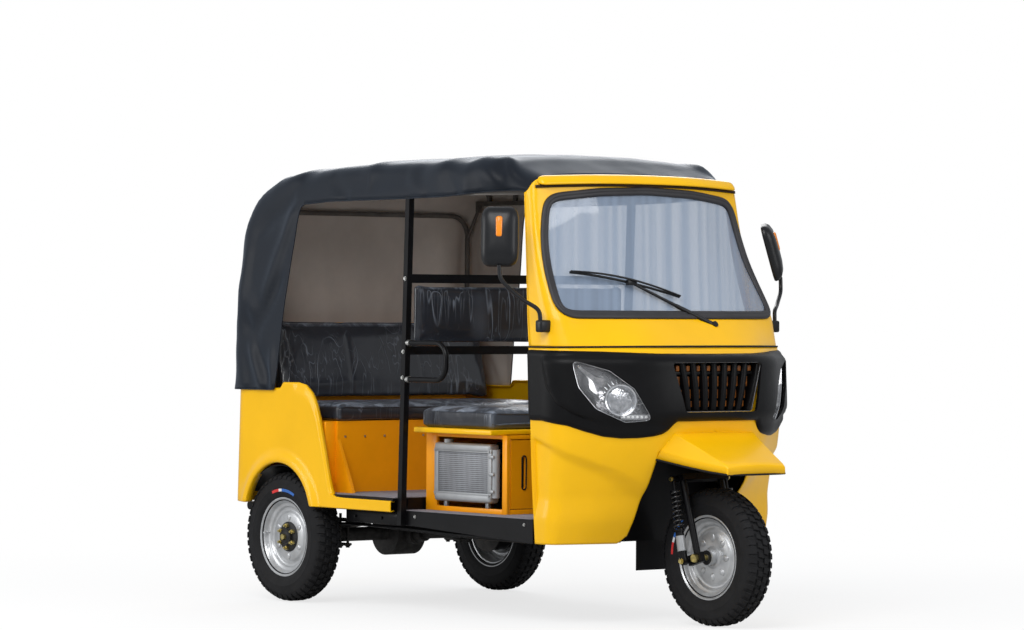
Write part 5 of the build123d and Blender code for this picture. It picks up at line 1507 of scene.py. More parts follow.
CORNER_X = -0.258                # where the cover's side turns into its rear corner
COVER_CORNER_STEPS = 14
COVER_BACK_STEPS = 24
SPLIT_Z = 1.680
FAN_Z = 1.45                     # height from which the rays that find the roof spread
FAN_STEPS = 60
ROOF_ROWS = 34
WALL_ROWS = 30
BOW_X = (-0.110, 0.070, 0.560, 1.050)
HOOP_REACH = 0.040
HOOP_COVER = 0.0045


def soft_max(a, b, reach):
    gap = max(reach - abs(a - b), 0.0) / reach
    return max(a, b) + gap * gap * reach / 4


def cover_gap(x, y, z):
    """Signed distance outside the cover, for a point on the right or left."""
    side = abs(y) - table_at(COVER_WIDTH, z)
    side += max(0.0, x - TAPER[0]) * TAPER[1]
    back = table_at(COVER_BACK, z) - x
    top = z - table_at(COVER_TOP, x) + 0.09 * y * y
    return soft_max(soft_max(side, top, 0.085), back, 0.070)


def cast(start, way, far):
    return start + way * halved(0.0, far, 17, lambda part: cover_gap(*(start + way * part)) < 0)[0]


cover_columns = []              # end of the ray in plan, its start on the middle line, height of the hem
x = COVER_FRONT_X
while x > CORNER_X:
    spine = x if x > 0.6 else POLE_X + 0.002 + (x - CORNER_X) * (0.348 / 0.858)
    cover_columns.append((Vector((x, -0.70)), spine))
    x -= 0.0055 if -0.065 < x < CUT_X else 0.0135 if x > CUT_X else 0.012
for step in range(COVER_CORNER_STEPS):
    turn = pi / 2 * step / COVER_CORNER_STEPS
    cover_columns.append((Vector((CORNER_X - 0.15 * sin(turn), -0.52 - 0.18 * cos(turn))), POLE_X))
for step in range(COVER_BACK_STEPS + 1):
    cover_columns.append((Vector((-0.42, -0.52 * (1 - step / COVER_BACK_STEPS))), POLE_X))


def resampled(line, count):
    """Evenly spaced points along an open line."""
    runs = distances(line)
    found, part = [], 0
    for k in range(count + 1):
        want = runs[-1] * k / count
        while part < len(line) - 2 and runs[part + 1] < want:
            part += 1
        share = min(1.0, (want - runs[part]) / max(runs[part + 1] - runs[part], 1e-9))
        found.append(line[part].lerp(line[part + 1], share))
    return found


# folds on the right side: two ends as x, y, z, then half width and height (a groove where negative)
FOLDS = [(1.330, -0.500, 1.862, 1.500, -0.590, 1.735, 0.026, 0.022),
         (1.345, -0.545, 1.832, 1.470, -0.595, 1.722, 0.018, -0.024),
         (1.230, -0.540, 1.850, 1.390, -0.600, 1.740, 0.050, 0.016),
         (-0.180, -0.560, 1.740, 0.900, -0.615, 1.790, 0.050, -0.011),
         (0.200, -0.600, 1.830, 1.250, -0.600, 1.842, 0.035, 0.007),
         (-0.240, -0.560, 1.690, 0.060, -0.590, 1.800, 0.030, 0.013),
         (0.040, -0.615, 1.700, -0.200, -0.630, 1.560, 0.028, -0.010),
         (0.050, -0.615, 1.640, -0.120, -0.641, 1.280, 0.030, 0.008),
         (-0.010, -0.640, 1.360, -0.190, -0.641, 1.120, 0.026, -0.007),
         (-0.250, -0.630, 1.500, -0.290, -0.641, 1.180, 0.030, 0.008),
         (-0.330, -0.580, 1.360, -0.190, -0.641, 1.240, 0.040, 0.010),
         (-0.340, -0.560, 1.240, -0.210, -0.641, 1.150, 0.026, -0.009),
         (-0.210, -0.645, 1.080, -0.120, -0.645, 0.905, 0.022, 0.010),
         (-0.160, -0.645, 1.050, -0.070, -0.645, 0.930, 0.018, -0.008),
         (-0.310, -0.620, 1.080, -0.250, -0.645, 0.900, 0.030, 0.006),
         (-0.060, -0.645, 1.060, -0.050, -0.645, 0.900, 0.020, 0.007),
         (-0.355, -0.420, 1.500, -0.360, -0.480, 0.960, 0.045, 0.010),
         (-0.350, -0.200, 1.560, -0.360, -0.140, 1.100, 0.050, -0.008),
         (-0.300, -0.300, 1.640, -0.100, -0.380, 1.830, 0.050, 0.009),
         (-0.240, -0.100, 1.730, -0.060, -0.120, 1.840, 0.045, -0.007),
         (-0.356, -0.330, 1.150, -0.362, -0.250, 0.930, 0.040, 0.008),
         (-0.330, -0.500, 1.580, -0.356, -0.300, 1.300, 0.035, -0.008),
         (0.300, -0.600, 1.790, 0.420, -0.615, 1.700, 0.022, -0.005),
         (0.820, -0.610, 1.790, 0.930, -0.615, 1.702, 0.020, 0.005),
         (1.060, -0.600, 1.790, 1.160, -0.610, 1.705, 0.020, -0.005)]


def fold_rise(spot, side):
    """Height of the folds at a place, on the mirrored right side."""
    rise = 0.0
    at = Vector((spot.x, -abs(spot.y), spot.z))
    for *ends, width, height in FOLDS:
        a, b = Vector(ends[:3]), Vector(ends[3:])
        run = b - a
        share = (at - a).dot(run) / run.length_squared
        if share < -0.35 or share > 1.35:
            continue
        near = a + run * min(1.0, max(0.0, share))
        away = (at - near).length_squared
        if away < 9 * width * width:
            fade = smooth_step(share, -0.35, 0.25) * (1 - smooth_step(share, 0.75, 1.35))
            rise += 1.5 * height * exp(-away / (width * width)) * fade * (1.0 if side < 0 else 0.8)
    wave = noise.noise(Vector((spot.x * 3.1, spot.y * 3.1 + side * 4.0, spot.z * 3.7)))
    rise += 0.0045 * wave + 0.0015 * noise.noise(spot * 11.0)
    if spot.z > 1.78:
        gaps = [abs(spot.x - bow) for bow in BOW_X]
        rise += (0.008 * exp(-(min(gaps) / 0.05) ** 2) - 0.004) * smooth_step(spot.z, 1.78, 1.83) \
            * (1 - smooth_step(spot.x, 1.25, 1.40))
    return rise


half_columns = []
for end, spine in cover_columns:
    flat_way = Vector((end.x - spine, end.y, 0))
    hem = table_at(HEM, end.x)
    start_z = max(hem, SPLIT_Z) if end.x < CUT_X else hem
    centre = Vector((spine, 0, FAN_Z))
    line = [cast(Vector((spine, 0, start_z)), flat_way, 1.4)]
    first = line[0] - centre
    base = atan2(first.z, Vector((first.x, first.y)).length)
    for step in range(1, FAN_STEPS + 1):
        angle = base + (pi / 2 - base) * (step / FAN_STEPS)
        line.append(cast(centre, flat_way.normalized() * cos(angle) + Vector((0, 0, 1)) * sin(angle), 1.6))
    wall = []
    if end.x < CUT_X and hem < SPLIT_Z - 0.002:
        wall = [cast(Vector((spine, 0, hem + (start_z - hem) * row / WALL_ROWS)), flat_way, 1.4)
                for row in range(WALL_ROWS)]
    half_columns.append((wall, resampled(line, ROOF_ROWS)))

mesh = bmesh.new()
for side in (-1, 1):
    verts = []
    for wall, roof in half_columns:
        made = [mesh.verts.new((p.x + REAR_X, p.y * -side, p.z)) for p in wall + roof]
        verts.append((made[:len(wall)], made[len(wall):]))
    for (wall_a, roof_a), (wall_b, roof_b) in zip(verts, verts[1:]):
        for row in range(ROOF_ROWS):
            mesh.faces.new((roof_a[row], roof_b[row], roof_b[row + 1], roof_a[row + 1]))
        a, b = wall_a + roof_a[:1], wall_b + roof_b[:1]
        for row in range(WALL_ROWS if wall_b else 0):
            mesh.faces.new((a[row], b[row], b[row + 1], a[row + 1]) if wall_a else (a[0], b[row], b[row + 1]))
bmesh.ops.remove_doubles(mesh, verts=mesh.verts, dist=0.0004)
normals_out(mesh)
highest = max(mesh.faces, key=lambda f: f.calc_center_median().z)
if highest.normal.z < 0:
    bmesh.ops.reverse_faces(mesh, faces=mesh.faces)
mesh.normal_update()
moves = []
for vert in mesh.verts:
    spot = Vector((vert.co.x - REAR_X, vert.co.y, vert.co.z))
    side = -1 if spot.y < 0 else 1
    moves.append((vert, vert.normal * fold_rise(spot, side)))
for vert, move in moves:
    vert.co += move
    corner = smooth_step(vert.co.x - REAR_X, 1.40, 1.51) * smooth_step(abs(vert.co.y), 0.38, 0.55)
    vert.co += Vector((0.046, 0.010 if vert.co.y > 0 else -0.010, -0.006)) * corner
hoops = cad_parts["roof_frame"].data
hoop_tree = BVHTree.FromPolygons([v.co for v in hoops.vertices], [p.vertices for p in hoops.polygons])
for turn in range(3):
    bmesh.ops.smooth_vert(mesh, verts=[v for v in mesh.verts if not v.is_boundary], factor=0.35,
                          use_axis_x=True, use_axis_y=True, use_axis_z=True)
    mesh.normal_update()
    for vert in mesh.verts:                  # the cover lies over the hoops, never inside them
        hit = hoop_tree.ray_cast(vert.co + vert.normal * HOOP_REACH, -vert.normal, HOOP_REACH + HOOP_COVER)
        if hit[0] is not None:
            vert.co += vert.normal * (HOOP_REACH + HOOP_COVER - hit[3])
canopy_black = surface("coated canopy cloth", (0.0035, 0.0055, 0.0098), 0.42, shine=0.19, mottle=(0.10, 5),
                       grain=(0.10, 1500), rough_spread=0.08, sheen=0.14)
canopy_black.node_tree.nodes["Principled BSDF"].inputs["Sheen Tint"].default_value = (0.60, 0.76, 1.0, 1)
canopy_lining = surface("canopy lining", (0.53, 0.48, 0.435), 0.80, mottle=(0.06, 6), grain=(0.12, 1300))
piece = fit("canopy_cover", mesh, "body", [canopy_black, canopy_lining], instead_of=["canopy"],
            crease=60)
solid = thicken(piece, 0.0022)
solid.material_offset = 1
solid.use_even_offset = False


def edge_loop(mesh):
    """The longest open edge of a sheet, as a chain of points."""
    links = {}
    for edge in mesh.edges:
        if edge.is_boundary:
            a, b = edge.verts
            links.setdefault(a, []).append(b)
            links.setdefault(b, []).append(a)
    best = []
    seen = set()
    for start in links:
        if start in seen:
            continue
        chain = [start]
        seen.add(start)
        while True:
            ahead = [v for v in links[chain[-1]] if v not in seen]
            if not ahead:
                break
            chain.append(ahead[0])
            seen.add(ahead[0])
        if len(chain) > len(best):
            best = chain
    return [v.co.copy() for v in best]


# bead along the cover's edge, and a dark binding where it meets the header
mesh = bmesh.new()
mesh.from_mesh(piece.data)
cover_edge = edge_loop(mesh)
mesh.free()
hem_bead = bmesh.new()
add_tube(hem_bead, [p for n, p in enumerate(cover_edge) if n % 2 == 0] + [cover_edge[0]], 0.0026, 3)
fit("canopy_hem_bead", hem_bead, "body", canopy_black, crease=60)
front_line = sorted([p for p in cover_edge if p.x > REAR_X + 1.500 and p.z > 1.735],
                    key=lambda p: atan2(p.z - 1.2, p.y))
binding = bmesh.new()
add_tube(binding, [p + Vector((0.003, 0, -0.004)) for n, p in enumerate(front_line) if n % 2 == 0], 0.0055, 3)
fit("canopy_front_binding", binding, "body", black_rubber, crease=60)
hoop_grey = surface("dulled hoop enamel", (0.110, 0.100, 0.090), 0.45, mottle=(0.25, 9))
paint(hoop_grey, "roof_frame")

# ---------------------------------------------------------------- floor, mats and sills
# Ribbed grey mats lie on the stepped floor; black channel sills close its sides under the front doorways.
# The sills are bolted on, and each carries the foot of a door post.
MAT = 0.0035
RIB_PITCH = 0.030
POST_FOOT_X = 0.788
POST_LEAN = 0.044                # how far forward the door posts' heads lie
REAR_FLOOR_Z = 0.468
FRONT_FLOOR_Z = 0.417
mat_grey = surface("floor mat", (0.235, 0.222, 0.245), 0.55, mottle=(0.16, 7), grain=(0.30, 420),
                   dust=(ROAD_DUST, 0.9, 0.10))
paint(black_enamel, "floor_pan", "side_sills", "wheel_well", "front_bulkhead")
mats = [((0.306, -0.618, REAR_FLOOR_Z), (0.768, 0.618)), ((0.790, -0.584, FRONT_FLOOR_Z), (1.318, -0.484)),
        ((0.790, 0.484, FRONT_FLOOR_Z), (1.318, 0.584)), ((1.322, -0.584, FRONT_FLOOR_Z), (1.596, 0.584)),
        ((1.596, -0.545, FRONT_FLOOR_Z), (1.686, 0.545))]
mesh = bmesh.new()
for (low_x, low_y, z), (high_x, high_y) in mats:
    block(mesh, rear(low_x, low_y, z), rear(high_x, high_y, z + MAT), 0.0015)
    rib = low_y + 0.03
    while rib < high_y - 0.02:
        block(mesh, rear(low_x + 0.012, rib, z + MAT - 0.0005),
              rear(high_x - 0.012, rib + 0.006, z + MAT + 0.0014))
        rib += RIB_PITCH
fit("floor_mats", mesh, "body", mat_grey)
mesh = bmesh.new()
for side in (-1, 1):
    for x in (0.862, 1.560):
        bolt(mesh, rear(x, side * 0.587, 0.395), (0, side, 0), 0.0050)
    for z in (1.367, 1.068, 0.962):
        lean = POST_FOOT_X + POST_LEAN * (z - 0.357) / 1.343
        bolt(mesh, rear(lean, side * 0.613, z), (0, side, 0), 0.0065)
    for z in (0.955, 1.104):
        lean = POST_FOOT_X + POST_LEAN * (z - 0.357) / 1.343
        bar(mesh, rear(lean + 0.012, side * 0.600, z), rear(lean + 0.030, side * 0.600, z), 0.0135, 20)
fit("post_bolts", mesh, "body", bright_zinc)
paint(black_enamel, "side_posts", "backrest_bars", "grab_handles")

# ---------------------------------------------------------------- seat boxes
# Folded orange-yellow sheet: the rear bench's box with its gussets, and the driver's box with a bay for
# the radiator on its right, a door in front and a pan that carries the cushion.
# The boxes, their door and the end plates take a darker, more orange copy of the body's yellow enamel:
# painted shade.
shaded_yellow = surface("yellow enamel in painted shade", (0.92, 0.340, 0.002), 0.38, coat=0.15, shine=0.2,
                       mottle=(0.06, 4.0), grain=(0.05, 700), dust=(ROAD_DUST, 0.5, 0.08))
paint(shaded_yellow, "rear_seat_box", "seat_box_door")
mesh = bmesh.new()
for side in (-1, 1):
    ends = sorted((side * 0.556, side * 0.612))
    block(mesh, rear(0.268, ends[0], 0.4685), rear(0.286, ends[1], 0.768), 0.002)
fit("seat_box_end_plates", mesh, "body", shaded_yellow)
BOX_X = (0.798, 1.320)
BOX_HALF = 0.480
BOX_Z = (0.417, 0.738)
BOX_WALL = 0.015
PAN_TOP = 0.760
BAY = ((0.870, 1.290), (0.440, 0.722))
DOOR = ((-0.461, -0.140), (0.440, 0.722))
mesh = bmesh.new()
x0, x1 = REAR_X + BOX_X[0], REAR_X + BOX_X[1]
bay_x = [REAR_X + x for x in BAY[0]]
walls = [((x0, -BOX_HALF, BOX_Z[0]), (bay_x[0], -BOX_HALF + BOX_WALL, BOX_Z[1])),
         ((bay_x[1], -BOX_HALF, BOX_Z[0]), (x1, -BOX_HALF + BOX_WALL, BOX_Z[1])),
         ((bay_x[0], -BOX_HALF, BOX_Z[0]), (bay_x[1], -BOX_HALF + BOX_WALL, BAY[1][0])),
         ((bay_x[0], -BOX_HALF, BAY[1][1]), (bay_x[1], -BOX_HALF + BOX_WALL, BOX_Z[1])),
         ((x0, BOX_HALF - BOX_WALL, BOX_Z[0]), (x1, BOX_HALF, BOX_Z[1])),
         ((x0, -BOX_HALF + BOX_WALL, BOX_Z[0]), (x0 + BOX_WALL, BOX_HALF - BOX_WALL, BOX_Z[1])),
         ((x1 - BOX_WALL, -BOX_HALF + BOX_WALL, BOX_Z[0]), (x1, DOOR[0][0], BOX_Z[1])),
         ((x1 - BOX_WALL, DOOR[0][1], BOX_Z[0]), (x1, BOX_HALF - BOX_WALL, BOX_Z[1])),
         ((x1 - BOX_WALL, DOOR[0][0], BOX_Z[0]), (x1, DOOR[0][1], DOOR[1][0])),
         ((x1 - BOX_WALL, DOOR[0][0], DOOR[1][1]), (x1, DOOR[0][1], BOX_Z[1]))]
for low, high in walls:
    block(mesh, low, high, 0.002)
fit("driver_box_walls", mesh, "body", shaded_yellow, instead_of=["driver_seat_box"])
mesh = bmesh.new()
block(mesh, rear(0.793, -0.545, BOX_Z[1]), rear(1.297, 0.545, PAN_TOP), 0.006, 3)
fit("driver_seat_pan", mesh, "body", body_yellow)
mesh = bmesh.new()
slot_y, slot_z, slot_half = -0.391, (0.520, 0.655), 0.011
slot_line = []
for half_turn, middle_z in ((0, slot_z[1] - slot_half), (pi, slot_z[0] + slot_half)):
    for step in range(13):
        turn = half_turn + pi * step / 12
        slot_line.append((x1 + 0.0005, slot_y + slot_half * cos(turn), middle_z + slot_half * sin(turn)))
add_tube(mesh, slot_line + [slot_line[0]], 0.0028, 2)
fit("door_slot_rim", mesh, "seat_box_door", black_rubber, crease=60)
mesh = bmesh.new()
for y in [-0.52 + 0.104 * k for k in range(11)]:
    bolt(mesh, rear(0.3005, y, 0.705), (1, 0, 0), 0.004)
for z in (0.47, 0.60, 0.70):
    bolt(mesh, (x1 + 0.0003, -0.090, z), (1, 0, 0), 0.004)
    bolt(mesh, (x1 + 0.0003, 0.440, z), (1, 0, 0), 0.004)
fit("seat_box_screws", mesh, "body", bright_zinc)

# ---------------------------------------------------------------- radiator
# Aluminium radiator in the bay: perforated face between side plates, rounded tanks above and below, a
# side tank with clips at its front end, and its feet.
RADIATOR = ((0.875, 1.243), (-0.498, -0.450), (0.462, 0.700))
cast_grey = surface("radiator aluminium", (0.36, 0.37, 0.38), 0.42, metal=0.45, mottle=(0.08, 12),
                    grain=(0.10, 500))
core = surface("radiator face", (0.30, 0.31, 0.33), 0.5, metal=0.2)
tree = core.node_tree
shader = tree.nodes["Principled BSDF"]
# Dark dots on the face stand for its perforations: painted shade in holes that are not cut.
place = node_value(tree, "TexCoord")
cells = node_value(tree, "TexVoronoi", Scale=125.0, Randomness=0.0, voronoi_dimensions="2D")
upright = node_value(tree, "Mapping", Rotation=(pi / 2, 0, 0))
hole_shade_dots = node_value(tree, "MapRange", From_Min=0.26, From_Max=0.40, To_Min=0.16, To_Max=1.0)
tint = node_value(tree, "Mix", data_type="RGBA", blend_type="MULTIPLY", Factor=1.0)
old = shader.inputs["Base Color"].links[0].from_socket
wire(tree, (place, "Object", upright, "Vector"), (upright, "Vector", cells, "Vector"),
     (cells, "Distance", hole_shade_dots, "Value"))
tree.links.new(old, tint.inputs["A"])
wire(tree, (hole_shade_dots, "Result", tint, "B"), (tint, "Result", shader, "Base Color"))
(low_x, high_x), (low_y, high_y), (low_z, high_z) = RADIATOR
mesh = bmesh.new()
block(mesh, rear(low_x + 0.022, low_y + 0.004, low_z + 0.034),
      rear(high_x - 0.022, high_y - 0.006, high_z - 0.034), 0.001)
fit("radiator_face", mesh, "body", core, instead_of=["radiator"])
mesh = bmesh.new()
for x in (low_x, high_x - 0.024):
    block(mesh, rear(x, low_y - 0.001, low_z + 0.020), rear(x + 0.024, high_y, high_z - 0.020), 0.003, 3)
for z in (low_z, high_z - 0.036):
    block(mesh, rear(low_x + 0.004, low_y - 0.006, z), rear(high_x - 0.004, high_y, z + 0.036), 0.012, 4)
    block(mesh, rear(low_x, low_y - 0.003, z + (0.032 if z == low_z else 0.0)),
          rear(high_x, high_y, z + (0.038 if z == low_z else 0.006)), 0.001)
bar(mesh, rear(high_x + 0.002, low_y + 0.022, low_z + 0.022),
    rear(high_x + 0.002, low_y + 0.022, high_z - 0.022), 0.017, 24)
for z in (0.510, 0.580, 0.650):
    block(mesh, rear(high_x - 0.014, low_y - 0.005, z - 0.006),
          rear(high_x + 0.018, low_y + 0.002, z + 0.006), 0.002)
for x in (low_x + 0.040, high_x - 0.060):
    block(mesh, rear(x, -BOX_HALF, 0.440), rear(x + 0.020, -BOX_HALF + BOX_WALL, low_z + 0.002), 0.002)
for x in (low_x + 0.012, high_x - 0.012):
    for z in (low_z + 0.030, high_z - 0.030):
        bolt(mesh, rear(x, low_y - 0.002, z), (0, -1, 0), 0.005)
bar(mesh, rear(low_x + 0.070, low_y + 0.020, high_z - 0.004),
    rear(low_x + 0.070, low_y + 0.020, high_z + 0.014), 0.020, 28)
fit("radiator_tanks", mesh, "body", cast_grey, crease=40)

# ---------------------------------------------------------------- cushions
# Foam seats under navy-black vinyl, still in wrinkled clear film. Each is swelled as cloth, its swell capped
# at about a centimetre, and piped along its front edges afterwards.
VOXEL = 0.011
CLOTH_FRAMES = 20
SEAM_AT = (-0.34, 0.34)          # places of the sewn seams, in shares of the half width
SEAM_DIP = 0.0035
SEAM_REACH = 0.012
# The film's highlights are painted into the vinyl's colour: thin pale streaks in patches, one broad pale
# band, and pale crinkles on faces that look up, lighter there because light falls from above. The same mask
# raises the bump.
vinyl_seat = surface("navy seat vinyl under film with painted highlights", (0.008, 0.009, 0.014), 0.34, coat=0.6, mottle=(0.15, 6),
                     grain=(0.10, 800))
tree = vinyl_seat.node_tree
shader = tree.nodes["Principled BSDF"]
place = node_value(tree, "TexCoord")
stretch = node_value(tree, "Mapping", Rotation=(radians(6), 0, radians(18)), Scale=(1.6, 1.0, 0.085))
wire(tree, (place, "Object", stretch, "Vector"))
film = None
for size, thin, strength in ((5.0, 0.007, 0.42), (13.0, 0.012, 0.30), (24.0, 0.020, 0.15)):
    painted_streak_noise = node_value(tree, "TexNoise", Scale=size, Detail=2.0, Roughness=0.5, Distortion=0.1)
    off = node_value(tree, "Math", operation="SUBTRACT")
    off.inputs[1].default_value = 0.5
    near = node_value(tree, "Math", operation="ABSOLUTE")
    line = node_value(tree, "MapRange", From_Min=0.0, From_Max=thin, To_Min=strength, To_Max=0.0)
    wire(tree, (stretch, "Vector", painted_streak_noise, "Vector"), (painted_streak_noise, "Fac", off, 0), (off, "Value", near, 0),
         (near, "Value", line, "Value"))
    if film is None:
        film = line.outputs["Result"]
    else:
        both = node_value(tree, "Math", operation="MAXIMUM")
        tree.links.new(film, both.inputs[0])
        wire(tree, (line, "Result", both, 1))
        film = both.outputs["Value"]
up = node_value(tree, "NewGeometry")
flat = node_value(tree, "SeparateXYZ")
top = node_value(tree, "MapRange", From_Min=0.55, From_Max=0.95, To_Min=0.0, To_Max=0.90)
crinkle = node_value(tree, "TexNoise", Scale=11.0, Detail=5.0, Roughness=0.6, Distortion=1.6)
crease_map = node_value(tree, "MapRange", From_Min=0.44, From_Max=0.66, To_Min=0.15, To_Max=1.0)
painted_top_highlight = node_value(tree, "Math", operation="MULTIPLY")
band = node_value(tree, "TexNoise", Scale=1.9, Detail=0.0)
painted_band_highlight = node_value(tree, "MapRange", From_Min=0.62, From_Max=0.66, To_Min=0.02, To_Max=0.20)
with_band = node_value(tree, "Math", operation="MAXIMUM")
wire(tree, (place, "Object", crinkle, "Vector"), (crinkle, "Fac", crease_map, "Value"),
     (crease_map, "Result", painted_top_highlight, 0), (top, "Result", painted_top_highlight, 1), (stretch, "Vector", band, "Vector"),
     (band, "Fac", painted_band_highlight, "Value"))
cover = node_value(tree, "Math", operation="ADD")
cover.use_clamp = True
pale = node_value(tree, "MixRGB", Color2=(0.42, 0.48, 0.58, 1))
rise = node_value(tree, "Bump", Strength=0.8, Distance=0.004)
old = shader.inputs["Base Color"].links[0].from_socket
patch = node_value(tree, "TexNoise", Scale=4.5, Detail=2.0)
highlight_patch_map = node_value(tree, "MapRange", From_Min=0.40, From_Max=0.62, To_Min=0.0, To_Max=1.0)
parts = node_value(tree, "Math", operation="MULTIPLY")
wire(tree, (place, "Object", patch, "Vector"), (patch, "Fac", highlight_patch_map, "Value"), (highlight_patch_map, "Result", parts, 0))
tree.links.new(film, parts.inputs[1])
wire(tree, (up, "Normal", flat, "Vector"), (flat, "Z", top, "Value"), (parts, "Value", with_band, 0),
     (painted_band_highlight, "Result", with_band, 1), (with_band, "Value", cover, 0), (painted_top_highlight, "Value", cover, 1),
     (cover, "Value", pale, "Fac"))
tree.links.new(old, pale.inputs["Color1"])
wire(tree, (pale, "Color", shader, "Base Color"), (cover, "Value", rise, "Height"))
tree.links.new(shader.inputs["Normal"].links[0].from_socket, rise.inputs["Normal"])
wire(tree, (rise, "Normal", shader, "Normal"), (rise, "Normal", shader, "Coat Normal"))
# columns: node, half width, furthest swell, fill, corners of the side view as x and height
CUSHIONS = [("rear_seat_cushion", 0.575, 0.012, 0.8,
             [(-0.145, 0.772), (0.322, 0.772), (0.322, 0.836), (-0.145, 0.836)]),
            ("rear_seat_back", 0.575, 0.014, 0.8,
             [(-0.137, 0.850), (-0.071, 0.850), (-0.156, 1.190), (-0.216, 1.190)]),
            ("driver_seat_cushion", 0.530, 0.014, 0.8,
             [(0.806, 0.762), (1.282, 0.762), (1.282, 0.834), (0.806, 0.834)]),
            ("driver_backrest", 0.568, 0.009, 0.75,
             [(0.799, 1.096), (0.826, 1.096), (0.829, 1.343), (0.802, 1.343)])]
PIPING = [("rear_seat_cushion", 0.322, 0.838, 0.560, (1, 0, 1)),
          ("driver_seat_cushion", 1.282, 0.838, 0.515, (1, 0, 1)),
          ("driver_seat_cushion", 1.282, 0.768, 0.515, (1, 0, -1)),
          ("rear_seat_back", -0.156, 1.192, 0.560, (1, 0, 1))]     # cushion, x, z, half length, way it faces


def make_even(pad):
    remesh = pad.modifiers.new("even", "REMESH")
    remesh.mode = "VOXEL"
    remesh.voxel_size = VOXEL


def swelled(name, corners, half, cap):
    """A foam block whose skin has been blown out a little as cloth."""
    mesh = bmesh.new()
    for y in (-half, half):
        mesh.faces.new([mesh.verts.new(rear(x, y, z)) for x, z in corners])
    mesh.verts.ensure_lookup_table()
    for k in range(4):
        j = (k + 1) % 4
        mesh.faces.new((mesh.verts[k], mesh.verts[j], mesh.verts[j + 4], mesh.verts[k + 4]))
    normals_out(mesh)
    bmesh.ops.bevel(mesh, geom=list(mesh.edges), offset=0.013, segments=3, affect="EDGES", profile=0.5,
                    material=-1)
    pad = placed(name, baked(name, mesh))
    make_even(pad)
    cloth = pad.modifiers.new("cloth", "CLOTH")
    cloth.settings.use_pressure = True
    cloth.settings.uniform_pressure_force = 4.0
    cloth.settings.effector_weights.gravity = 0.0
    cloth.settings.quality = 5
    for frame_number in range(1, CLOTH_FRAMES + 1):
        bpy.context.scene.frame_set(frame_number)
    swollen = evaluated(pad)
    pad.modifiers.clear()
    make_even(pad)
    rest = evaluated(pad)
    bpy.data.objects.remove(pad)
    bpy.context.scene.frame_set(1)
    for vert, start in zip(swollen.vertices, rest.vertices):
        move = vert.co - start.co
        if move.length > cap:
            vert.co = start.co + move.normalized() * cap
    return swollen


def tucked(share):
    """Depth of a seat's two sewn seams at a share of its half width."""
    return sum(SEAM_DIP * exp(-((share - seam) / SEAM_REACH) ** 2) for seam in SEAM_AT)


for name, half, cap, fill, corners in CUSHIONS:
    data = swelled(name + "_foam", corners, half, cap)
    mesh = bmesh.new()
    mesh.from_mesh(data)
    bpy.data.meshes.remove(data)
    for vert in mesh.verts:
        ripple = noise.noise(Vector((vert.co.x * 9, vert.co.y * 4.5, vert.co.z * 9)))
        fine = noise.noise(Vector((vert.co.x * 22, vert.co.y * 13 + vert.co.x * 9, vert.co.z * 25)))
        sewn = tucked(vert.co.y / half) if name != "driver_backrest" else 0.0
        vert.co += vert.normal * (0.0018 * ripple + 0.0011 * abs(fine) - sewn)
    piece = fit(name + "_vinyl", mesh, "body", vinyl_seat, instead_of=[name], crease=180)
    finer = piece.modifiers.new("finer", "SUBSURF")
    finer.levels = finer.render_levels = 1

# piping on the cushions' front edges, laid on the swollen skin
mesh = bmesh.new()
for name, x, z, half, away in PIPING:
    skin_piece = bpy.data.objects[name + "_vinyl"]
    line = []
    for step in range(41):
        y = half * (step / 20 - 1)
        start = rear(x, y, z) + Vector(away) * 0.05
        hit, spot, normal, face = skin_piece.ray_cast(start, -Vector(away).normalized())
        line.append(spot + normal * 0.0005 if hit else rear(x, y, z))
    add_tube(mesh, line, 0.0040, 3)
fit("seat_piping", mesh, "body", vinyl_seat, crease=60)

# ---------------------------------------------------------------- steering: fork, struts and bar
# Raked tubular fork with a sprung strut beside each leg, a straight stem through the head tube and a
# swept handlebar with ribbed grips, levers and switch pods.
RAKE = radians(17)
AXLE = Vector((FRONT_X, 0, WHEEL_Z))
axis_up = Vector((-sin(RAKE), 0, cos(RAKE)))
axis_fore = Vector((cos(RAKE), 0, sin(RAKE)))
paint(black_enamel, "front_fork")
paint(yellow_zinc, "front_axle")


def on_fork(fore, y, up):
    return AXLE + axis_fore * fore + Vector((0, y, 0)) + axis_up * up


def coil(mesh, start, end, radius, wire, turns):
    """A spring's wire between two points."""
    run = end - start
    side_way = run.normalized().orthogonal().normalized()
    other = run.normalized().cross(side_way)
    count = turns * 14
    add_tube(mesh, [start + run * (k / count) + (side_way * cos(2 * pi * k / 14) + other
                                                 * sin(2 * pi * k / 14)) * radius for k in range(count + 1)],
             wire, 3)


# columns: start and end as distances in front of the axle and up the fork, radius, sides
STRUT = [((-0.044, 0), (-0.036, 0.124), 0.0170, 24), ((-0.030, 0.140), (-0.012, 0.325), 0.0080, 20),
         ((-0.0365, 0.118), (-0.0359, 0.126), 0.0225, 24), ((-0.0148, 0.270), (-0.0140, 0.279), 0.0215, 24)]
